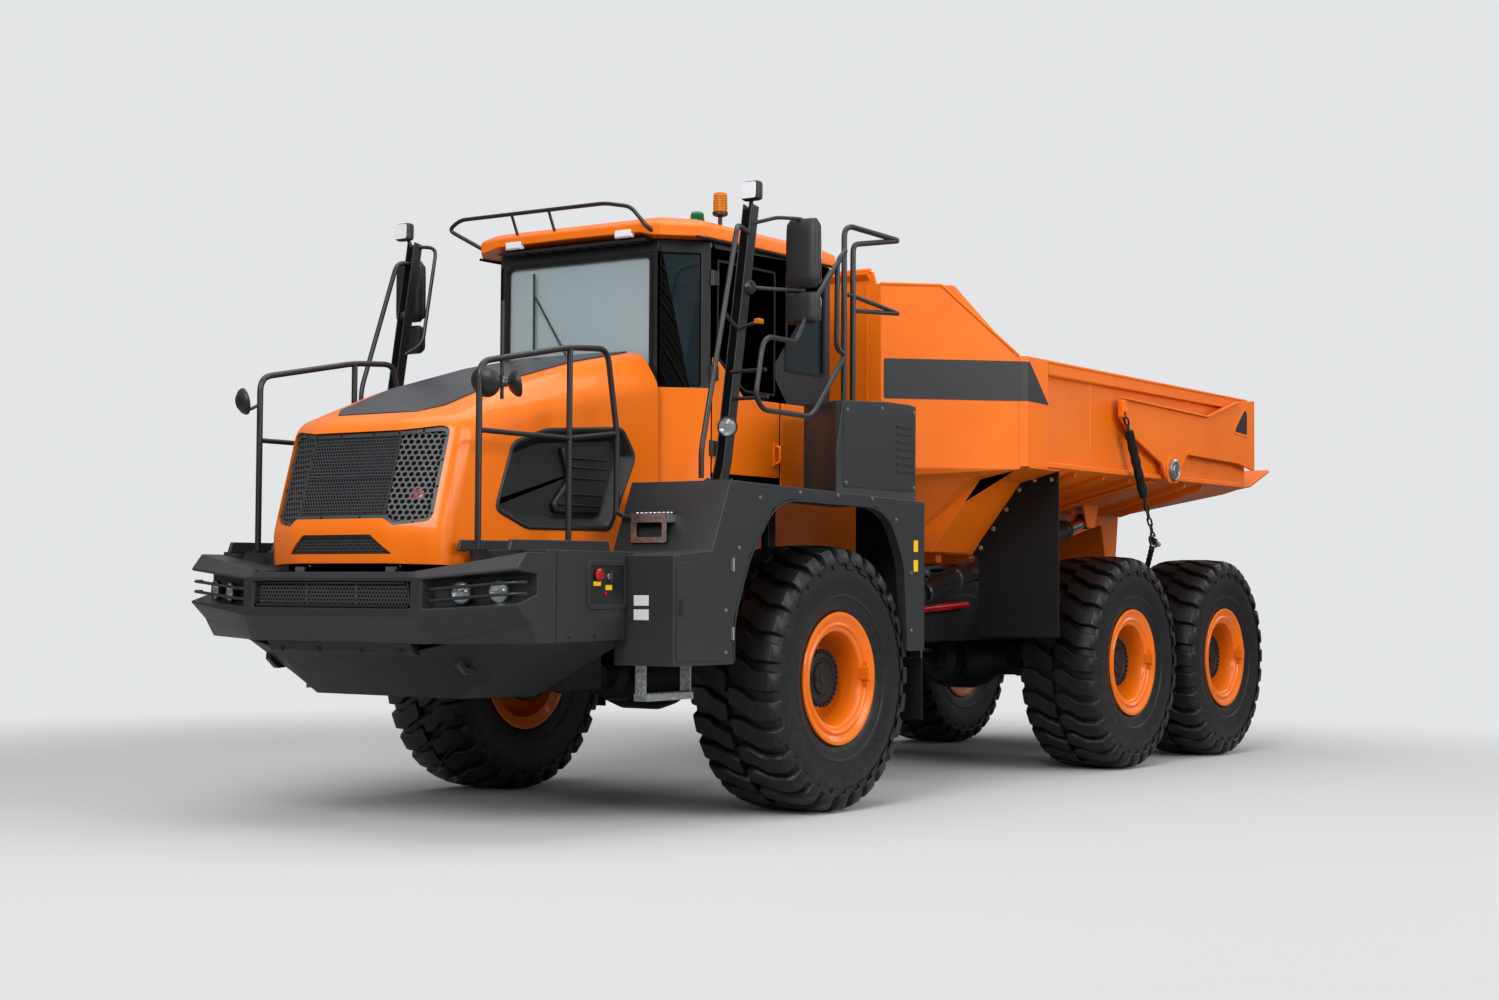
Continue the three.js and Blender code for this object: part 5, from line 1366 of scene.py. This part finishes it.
workHouse, workCup, workGlass = roundLamp(np.array([1085.0, 1400, 2180]), np.array([0.85, 0.5, -0.15]), 50)
make("workLamp", join(workHouse, pipe([(1040, 1380, 2180), (972, 1290, 2150)], 12, 0, 10)), blackPlastic,
     "tractor")
make("workLampCup", workCup, chromePlate, "tractor")
make("workLampGlass", workGlass, clearLens, "tractor")

gateLoop = [(115, 3261), (484, 2894), (635, 2680), (906, 2683), (964, 2634), (1028, 2343), (951, 2277),
            (494, 2271), (437, 2303), (110, 2656), (207, 2681), (200, 3191), (115, 3261)]
gate = pipe([(x, 1545, z) for x, z in gateLoop], 15, 44, 12)
gateTies = join(*[pipe([(x, 1545, z), (x + dx, 1440, z), (x + 2 * dx, 1300, z)], 11, 20, 10)
                  for x, z, dx in ((930, 2500, -10), (905, 2350, 0))])
make("swingGate", join(gate, gateTies), blackEnamel, "tractor")
y = 1339
make("platformRail",
     join(pipe([(-200, y, 2380), (-200, y, 3440), (-260, y, 3475), (-840, y, 3465), (-300, y, 3370),
                (-300, y, 2380)], 17, 50, 14),
          pipe([(-300, y, 3060), (-840, y, 3010), (-300, y, 2970)], 14, 30, 12),
          pipe([(-200, y, 3060), (-300, y, 3060)], 14, 0, 12), slab(-232, -168, y - 40, y + 40, 2396, 2404),
          slab(-332, -268, y - 40, y + 40, 2408, 2416)), blackEnamel, "tractor", replaces=["platform_rail"])
print("rails made")

# dump bed
for node, name in (("bed_side_left", "BedSideLeft"), ("bed_side_right", "BedSideRight"),
                   ("bed_floor", "BedFloor"), ("bed_headboard", "Headboard")):
    skin(name, node, bodyEnamel, "dump_body", 6)

noseCorner, sideCorner = np.array([-1600.0, 745]), np.array([-2270.0, 1440])
flankLength = np.linalg.norm(sideCorner - noseCorner)


def onFlank(outline, low, high):
    # an outline in (distance along the slanted flank, z), drawn outwards from its face
    along = (sideCorner - noseCorner) / flankLength
    out = np.array([-along[1], along[0]])
    out = out if out[1] > 0 else -out
    points = [np.column_stack([noseCorner + np.outer(np.array(outline)[:, 0], along) + out * level,
                               np.array(outline)[:, 1]]) for level in (low, high)]
    count = len(outline)
    near, far = np.arange(count), np.arange(count) + count
    return np.concatenate(points), [loopQuads(near, far), near[None, ::-1], far[None]]


cornerPost = prism([(-2258, 1430), (-2303, 1477), (-2606, 1477), (-2612, 1436), (-2340, 1430)], 2128, 2874, 2)
make("bedPillars", bothSides(cornerPost), bodyEnamel, "dump_body", 7)
stripe = onFlank(rounded(rectangle(24, flankLength + 8, 2568, 2836), 16), 0.5, 2.5)
wedge = prism([(-2306, 2570), (-2306, 2834), (-2330, 2834), (-2602, 2566), (-2602, 2562)], 1477.2, 1479.2, 1)
cornerBand = prism([(-2262, 1439), (-2304, 1479), (-2308, 1476), (-2266, 1436)], 2569, 2835, 2)
make("stripePanels", bothSides(join(stripe, wedge, cornerBand)), greyEnamel, "dump_body", 0.8)


def pressedRib(x, z0, z1, width=26, proud=5):
    outline = [(x - width / 2 - 6, 1438), (x - width / 2, 1440 + proud), (x + width / 2, 1440 + proud),
               (x + width / 2 + 6, 1438)]
    return prism(outline, z0, z1, 2)


make("bedSeams", bothSides(join(*[pressedRib(x, 2190, 2770, 18, 4) for x in (-3330, -5050)])), bodyEnamel,
     "dump_body", 2)
topRail = prism([(-2606, 2776), (-2606, 2864), (-6165, 2856), (-6165, 2768)], 1436, 1474, 1)
capRail = prism([(-2606, 2852), (-2606, 2872), (-6165, 2864), (-6165, 2846)], 1424, 1482, 1)
lowerRail = prism([(-2606, 2140), (-2606, 2176), (-6060, 2182), (-6060, 2146)], 1432, 1462, 1)
make("bedTopRails", bothSides(join(topRail, capRail)), bodyEnamel, "dump_body", 6)
make("bedLowerRails", bothSides(lowerRail), bodyEnamel, "dump_body", 6)
crestLip = join(pipe([(-1590, -672, 3424), (-1590, 672, 3424)], 16, 0, 12),
                prism([(-1604, 3360), (-1586, 3366), (-1556, 3396), (-1556, 3408), (-1604, 3416)], -664, 664,
                      1))
flankLip = [pipe([(-1598, f * 745, 3334), (-1890, f * 1044, 3334), (-2262, f * 1432, 2872)], 11, 16, 10)
            for f in (1, -1)]
make("crestLip", join(crestLip, *flankLip), bodyEnamel, "dump_body", 3)
noseSeams = bothSides(onFlank(rectangle(2, 16, 2120, 3326), -0.5, 4.5))
make("noseSeams",
     join(noseSeams, *[slab(-1603, -1596, f * 640 - 9, f * 640 + 9, 2130, 3330) for f in (1, -1)]),
     bodyEnamel, "dump_body", 2)


def underRib(x):
    # a shallow stiffener under the sloping shelf
    line = lambda y: 1900 + (y - 560) * 250 / 880
    return prism([(610, line(610) + 4), (1405, line(1405) + 4), (1405, line(1405) - 42),
                  (700, line(700) - 46)], x - 7, x + 7, 0)


make("underRibs", bothSides(join(*[underRib(x) for x in (-3160, -3620, -4060, -5060, -5400)])), bodyEnamel,
     "dump_body", 2)
bracePair = [pipe([(x, 556, 1880), (x - 160, 1412, 2128)], 12, 0, 8) for x in (-4260, -4330)]
make("braceRods", bothSides(join(*bracePair)), bodyEnamel, "dump_body")
floorRibs = [slab(x - 40, x + 40, -396, 396, 1498, 1562) for x in (-2500, -3000, -3500, -4000)]
make("floorRibs", join(*floorRibs), bodyEnamel, "dump_body", 4)

# rubber mud flaps with a clamping strip and its bolts down the cheek's slanted edge
for side in ("left", "right"):
    skin("Mudflap" + side.title(), "mudflap_" + side, sheetRubber, "dump_body", 1.5)
topStrip = slab(-2850, -2842, 1150, 1424, 2040, 2092)
make("flapStrips",
     bothSides(join(prism([(1142, 2050), (1186, 2050), (806, 1520), (760, 1560)], -2848.5, -2843, 0),
                    topStrip)), sheetRubber, "dump_body", 2)
stripPlaces = [(-2842, 1152 - 350 * t, 2030 - 465 * t) for t in (0.06, 0.35, 0.64, 0.93)]
make("flapBolts", bothSides(bolts(stripPlaces + [(-2842, 1250, 2068), (-2842, 1380, 2068)], forward, 24)),
     zincPlate, "dump_body")
print("bed made")

# tailgate, with its arms drawn from the pivot
skin("Tailgate", "tailgate", bodyEnamel, "tailgate", 5)
armY = 1483 + 24
pivot = np.array([-4583.0, 0, 2212.0])


def armOutline(points):
    return [(pivot[0] + x, pivot[2] + z) for x, z in points]


armEdge = armOutline([(893, 488), (-653, 457), (-1233, 608), (-1300, 612), (-1300, 600), (-1237, 596),
                      (-655, 445), (893, 476)])
armRib = prism(armEdge, armY - 24, armY + 26, 1)
armHole = armOutline([(-1222, 352), (-1228, 405), (-1430, 578), (-1508, 556), (-1512, 336)])
triangle, inner = rounded(armHole, 30), rounded(inset(armHole, 20), 24)
window = openFrame(triangle, inner, armY - 1, armY + 5, 1)
make("armRibs", bothSides(armRib), bodyEnamel, "tailgate", 3)
make("armWindows", bothSides(window), bodyEnamel, "tailgate", 2)
# a thin black sheet inside each window frame: painted shade in the opening
make("armWindowPaintedShade", bothSides(prism(inner, armY + 0.3, armY + 1.2, 1)), blackEnamel, "tailgate", 0.3)
boss = revolve([(0, 1500), (84, 1500), (84, 1540), (70, 1546), (66, 1540), (40, 1540), (36, 1546), (0, 1546)],
               (pivot[0], 0, pivot[2]), sideways, 36)
earPlate = prism(rounded(armOutline([(-95, -95), (90, -95), (110, 60), (0, 130), (-100, 60)]), 40), armY,
                 armY + 12, 1)
make("pivotBosses", bothSides(earPlate), bodyEnamel, "tailgate", 3)
make("pivotPins", bothSides(boss), zincPlate, "tailgate", 1)
hook = join(prism(rounded(armOutline(rectangle(840, 905, 340, 470)), 18), armY, armY + 26, 1),
            pin(20, armY + 20, armY + 44, (pivot[0] + 876, 0, pivot[2] + 388), sideways, 16))
make("chainEars", bothSides(hook), bodyEnamel, "tailgate", 3)
gateRibs = [slab(-6254, -6240, y - 9, y + 9, 2380, 2830) for y in np.arange(-1200, 1201, 300)]
make("gateRibs", join(*gateRibs, slab(-6262, -6240, -1440, 1440, 2838, 2858)), bodyEnamel, "tailgate", 3)
print("tailgate made")


def chainLink(centre, along, across, length=74, width=44, wire=8.5):
    # one oval link: a circle of wire carried round a racetrack of two straights and two half turns
    a = np.asarray(along, float) / np.linalg.norm(along)
    b = np.asarray(across, float)
    b = b - a * (b @ a)
    b /= np.linalg.norm(b)
    c = np.cross(a, b)
    turn = np.linspace(-math.pi / 2, math.pi / 2, 7)
    r = width / 2 - wire
    s = length / 2 - width / 2
    path = np.concatenate([np.column_stack([s + r * np.cos(turn), r * np.sin(turn)]),
                           np.column_stack([-s - r * np.cos(turn), -r * np.sin(turn)])])
    ring = np.linspace(0, 2 * math.pi, 7)[:-1]
    middle = np.concatenate([np.tile([s, 0], (7, 1)), np.tile([-s, 0], (7, 1))])
    outward = (path - middle) / np.linalg.norm(path - middle, axis=1)[:, None]
    flat = path[:, None] + np.cos(ring)[None, :, None] * wire * outward[:, None]
    points = centre + flat[..., :1] * a + flat[..., 1:] * b + (np.sin(ring) * wire)[None, :, None] * c
    rows, sides = points.shape[:2]
    quads = gridQuads(rows, sides, closed=True)
    wrap = loopQuads(np.arange(sides) + (rows - 1) * sides, np.arange(sides))
    return points.reshape(-1, 3), [quads, wrap]


def chainRun(a, b, count):
    a, b = np.asarray(a, float), np.asarray(b, float)
    d = (b - a) / count
    links = []
    for k in range(count):
        across = (0, 1, 0) if k % 2 else (0.9, 0.1, 0.42)
        links.append(chainLink(a + d * (k + 0.5), d, across, np.linalg.norm(d) * 1.36, 44, 8))
    return join(*links)


# the tailgate chain: up from the frame to a shackle, then through a rubber sleeve to the tailgate arm's ear
chainTop, chainMid, chainFoot = np.array([(-3700, 1529, 2600), (-4210, 1529, 1680), (-5230, 1000, 1440)])
sleeveA, sleeveB = (chainTop + (chainMid - chainTop) * share for share in (0.16, 0.66))
sleevePath = sleeveA + np.outer(np.linspace(0, 1, 26), sleeveB - sleeveA)
along = np.linspace(0, 1, 26)
links = join(chainRun(chainTop, sleeveA, 3), chainRun(sleeveB, chainMid, 6),
             chainRun(chainMid, chainFoot, 17))
shackle = join(chainLink(np.array([-4218.0, 1522, 1668]), (-0.5, 0, -0.85), sideways, 110, 74, 12),
               bolts([(-4226, 1560, 1646)], sideways, 26))
sleeve = pipe(sleevePath, 33 + 2.4 * np.sin(along * 31) + 1.5 * np.sin(along * 77 + 1), 0, 16)
footPin = pin(24, -34, 34, chainFoot, sideways, 16)
makePair("chain", links, oiledIron, "chain_{}_link", 0, "chain_{}")
makePair("chainShackle", shackle, zincPlate, "chain_{}_link")
makePair("chainSleeve", sleeve, sheetRubber, "chain_{}_link")
makePair("chainFootPin", footPin, zincPlate, "chain_{}_link")
print("chains made")


def pinEye(size, centre):
    # the short tube round a cylinder's pin
    wide, half = size["eye"], size["half"]
    return revolve([(0, -half), (wide * 0.94, -half), (wide, -half + 4), (wide, half - 4),
                    (wide * 0.94, half), (0, half)], centre, size["axis"], 28)


def cylinder(label, base, eye, size):
    # barrel with head, gland and a hard pipe, and a polished rod with its eye
    base, eye = np.array(base, float), np.array(eye, float)
    length = np.linalg.norm(eye - base)
    w = (eye - base) / length
    r, rod, wide = size["radius"], size["rod"], size["eye"]
    neck, end = wide * 2, size["barrel"]
    barrel = revolve([(0, neck), (r * 0.9, neck), (r, neck + 14), (r, neck + 46), (r * 0.94, neck + 52),
                      (r * 0.94, end - 74), (r, end - 70), (r, end - 8), (r * 0.9, end), (rod + 3.2, end),
                      (rod + 3.2, end - 40), (0, end - 40)], base, w, 36)
    root = revolve([(0, 0), (wide * 0.62, 0), (wide * 0.62, neck), (r * 0.8, neck + 6), (0, neck + 6)], base,
                   w, 20)
    parts = [barrel, pinEye(size, base), root]
    if size["pipe"]:
        up = np.array([0, 0, 1.0]) - w * w[2]
        up /= np.linalg.norm(up)
        near, far = base + w * (neck + 60), base + w * (end - 60)
        parts.append(pipe([near + up * r * 0.9, near + up * (r + 12), far + up * (r + 12),
                           far + up * r * 0.9], 8, 14, 8))
    make(label + "Barrel", join(*parts), blackEnamel, size["bodies"][0], 0, [size["nodes"][0]], smooth=38)
    tip = length - wide * 0.7
    rodShape = revolve([(0, size["start"]), (rod - 1, size["start"]), (rod, size["start"] + 2), (rod, tip),
                        (0, tip)], base, w, 32)
    make(label + "Rod", rodShape, chromePlate, size["bodies"][1], 0, [size["nodes"][1]], smooth=38)
    make(label + "Eye", pinEye(size, eye), blackEnamel, size["bodies"][1], smooth=38)


dump = dict(radius=72, rod=45, eye=58, barrel=2350, start=160, half=38, axis=sideways, pipe=True)
steer = dict(radius=45, rod=24, eye=38, barrel=560, start=330, half=38, axis=upward, pipe=False)
dumpFoot, dumpEye = np.array([-2100, 720, 1250]), np.array([-4700, 720, 1840])
dumpAxis = (dumpEye - dumpFoot) / np.linalg.norm(dumpEye - dumpFoot)
for side, flip in (("left", 1), ("right", -1)):
    hand = np.array([1, flip, 1])
    for kind, sizes, base, eye in (("dump", dump, dumpFoot, dumpEye),
                                   ("steer", steer, np.array([-2090, 480, 790]),
                                    np.array([-1230, 230, 790]))):
        named = dict(bodies=(f"{kind}_{side}_cylinder", f"{kind}_{side}_piston"),
                     nodes=(f"{kind}_{side}_barrel", f"{kind}_{side}_rod"))
        cylinder(kind + side.title(), base * hand, eye * hand, {**sizes, **named})
    clamps = [revolve([(60, -17), (79, -17), (79, 17), (60, 17), (60, -17)], dumpFoot * hand + dumpAxis * t,
                      dumpAxis, 28) for t in (560, 1220, 1860)]
    make("dumpClamps" + side.title(), join(*clamps), zincPlate, f"dump_{side}_cylinder", 1)

# the red bars that hold the raised bed up, stowed along the frame's sides
make("bedProps",
     bothSides(join(pipe([(-2440, 452, 1150), (-3280, 470, 1196)], 26, 0, 14),
                    slab(-2452, -2420, 420, 470, 1120, 1180), slab(-3290, -3260, 420, 480, 1170, 1220))),
     redEnamel, "rear_chassis", 2)
print("cylinders made")

# floor, lights and camera
studio = dict(floorRadius=120.0, clearFrom=4.8, clearTo=10.5)


def studioFloor():
    # a large disc just under the tyres, whose paint fades out with distance from the truck's middle
    bpy.ops.mesh.primitive_circle_add(vertices=96, radius=studio["floorRadius"], fill_type="NGON",
                                      location=(0, 0, 0))
    floor = bpy.context.object
    floor.name = "studioFloor"
    material = bpy.data.materials.new("paperSweep")
    material.use_nodes = True
    tree = material.node_tree
    tree.nodes.clear()
    place = addNode(tree, "TexCoord", {})
    shift = addNode(tree, "Mapping", {"Vector": place.outputs["Object"], "Location": (-1.0, 0, 0)})
    grain = addNode(tree, "TexNoise", {"Vector": shift.outputs[0], "Scale": 0.35, "Detail": 3.0})
    tone = addNode(tree, "Mix", {"Factor": grain.outputs[0], "A": linear("#AEAEAF"), "B": linear("#B1B1B2")},
                   data_type="RGBA")
    reach = addNode(tree, "VectorMath", {0: shift.outputs[0]}, operation="LENGTH")
    fade = addNode(tree, "MapRange", {"Value": reach.outputs["Value"], "From Min": studio["clearFrom"],
                                                "From Max": studio["clearTo"], "To Min": 0.0, "To Max": 1.0},
                   interpolation_type="SMOOTHSTEP")
    paper = addNode(tree, "BsdfDiffuse", {"Color": tone.outputs[2], "Roughness": 0.6})
    clear = addNode(tree, "BsdfTransparent", {})
    mix = addNode(tree, "MixShader", {0: fade.outputs[0], 1: paper.outputs[0], 2: clear.outputs[0]})
    addNode(tree, "OutputMaterial", {"Surface": mix.outputs[0]})
    floor.data.materials.append(material)
    return floor


def studioLight(name, place, aim, size, power, colour="#FFFFFF"):
    lamp = bpy.data.lights.new(name, "AREA")
    lamp.shape = "RECTANGLE"
    lamp.size, lamp.size_y = size
    lamp.energy = power
    lamp.color = linear(colour)[:3]
    made = bpy.data.objects.new(name, lamp)
    bpy.context.scene.collection.objects.link(made)
    made.location = place
    made.rotation_euler = (Vector(aim) - Vector(place)).to_track_quat("-Z", "Y").to_euler()


studioFloor()
studioLight("overhead", (1.0, 1.0, 13.0), (0.6, 0, 0.8), (16, 12), 1330)
studioLight("frontKey", (13.0, 3.5, 8.0), (1.5, 0, 1.6), (7, 5), 990)
studioLight("sideKey", (1.0, 14.0, 7.0), (-0.6, 0, 1.4), (13, 5), 1120)
studioLight("sideLow", (6.0, 11.0, 1.6), (0.5, 0.8, 1.0), (6, 2.2), 70)
studioLight("rearRim", (-12.0, 5.0, 7.0), (-2.0, 0, 2.0), (5, 4), 160)

world = bpy.data.worlds.new("paleRoom")
bpy.context.scene.world = world
world.use_nodes = True
tree = world.node_tree
tree.nodes.clear()
ray = addNode(tree, "LightPath", {})
place = addNode(tree, "TexCoord", {})
rise = addNode(tree, "SeparateXYZ", {0: place.outputs["Generated"]})
sky = addNode(tree, "MapRange", {"Value": rise.outputs["Z"], "From Min": -0.15, "From Max": 0.9,
                                           "To Min": 0.16, "To Max": 0.6}, interpolation_type="SMOOTHSTEP")
room = addNode(tree, "Background", {"Color": linear("#F3F4F6"), "Strength": sky.outputs[0]})
paper = addNode(tree, "Background", {"Color": linear("#E3E5E7"), "Strength": 1.0})
mix = addNode(tree, "MixShader", {0: ray.outputs["Is Camera Ray"], 1: room.outputs[0], 2: paper.outputs[0]})
addNode(tree, "OutputWorld", {"Surface": mix.outputs[0]})
eye = dict(place=(12.923, 8.304, 1.288), yaw=math.radians(-145.40), pitch=math.radians(2.356), roll=0.00579,
           lens=52.85)


def aimedCamera(place, yaw, pitch, roll, lens):
    ahead = Vector((math.cos(pitch) * math.cos(yaw), math.cos(pitch) * math.sin(yaw), math.sin(pitch)))
    level = ahead.cross(Vector((0, 0, 1))).normalized()
    upright = level.cross(ahead)
    right = math.cos(roll) * level + math.sin(roll) * upright
    up = math.cos(roll) * upright - math.sin(roll) * level
    camera = bpy.data.cameras.new("studioCamera")
    camera.lens = lens
    camera.sensor_width = 36
    camera.clip_end = 400
    made = bpy.data.objects.new("studioCamera", camera)
    turn = Matrix((right, up, -ahead)).transposed().to_4x4()
    made.matrix_world = Matrix.Translation(place) @ turn
    bpy.context.scene.collection.objects.link(made)
    bpy.context.scene.camera = made
    return made


aimedCamera(**eye)
scene = bpy.context.scene
scene.view_settings.view_transform = "Standard"

print("stage made")
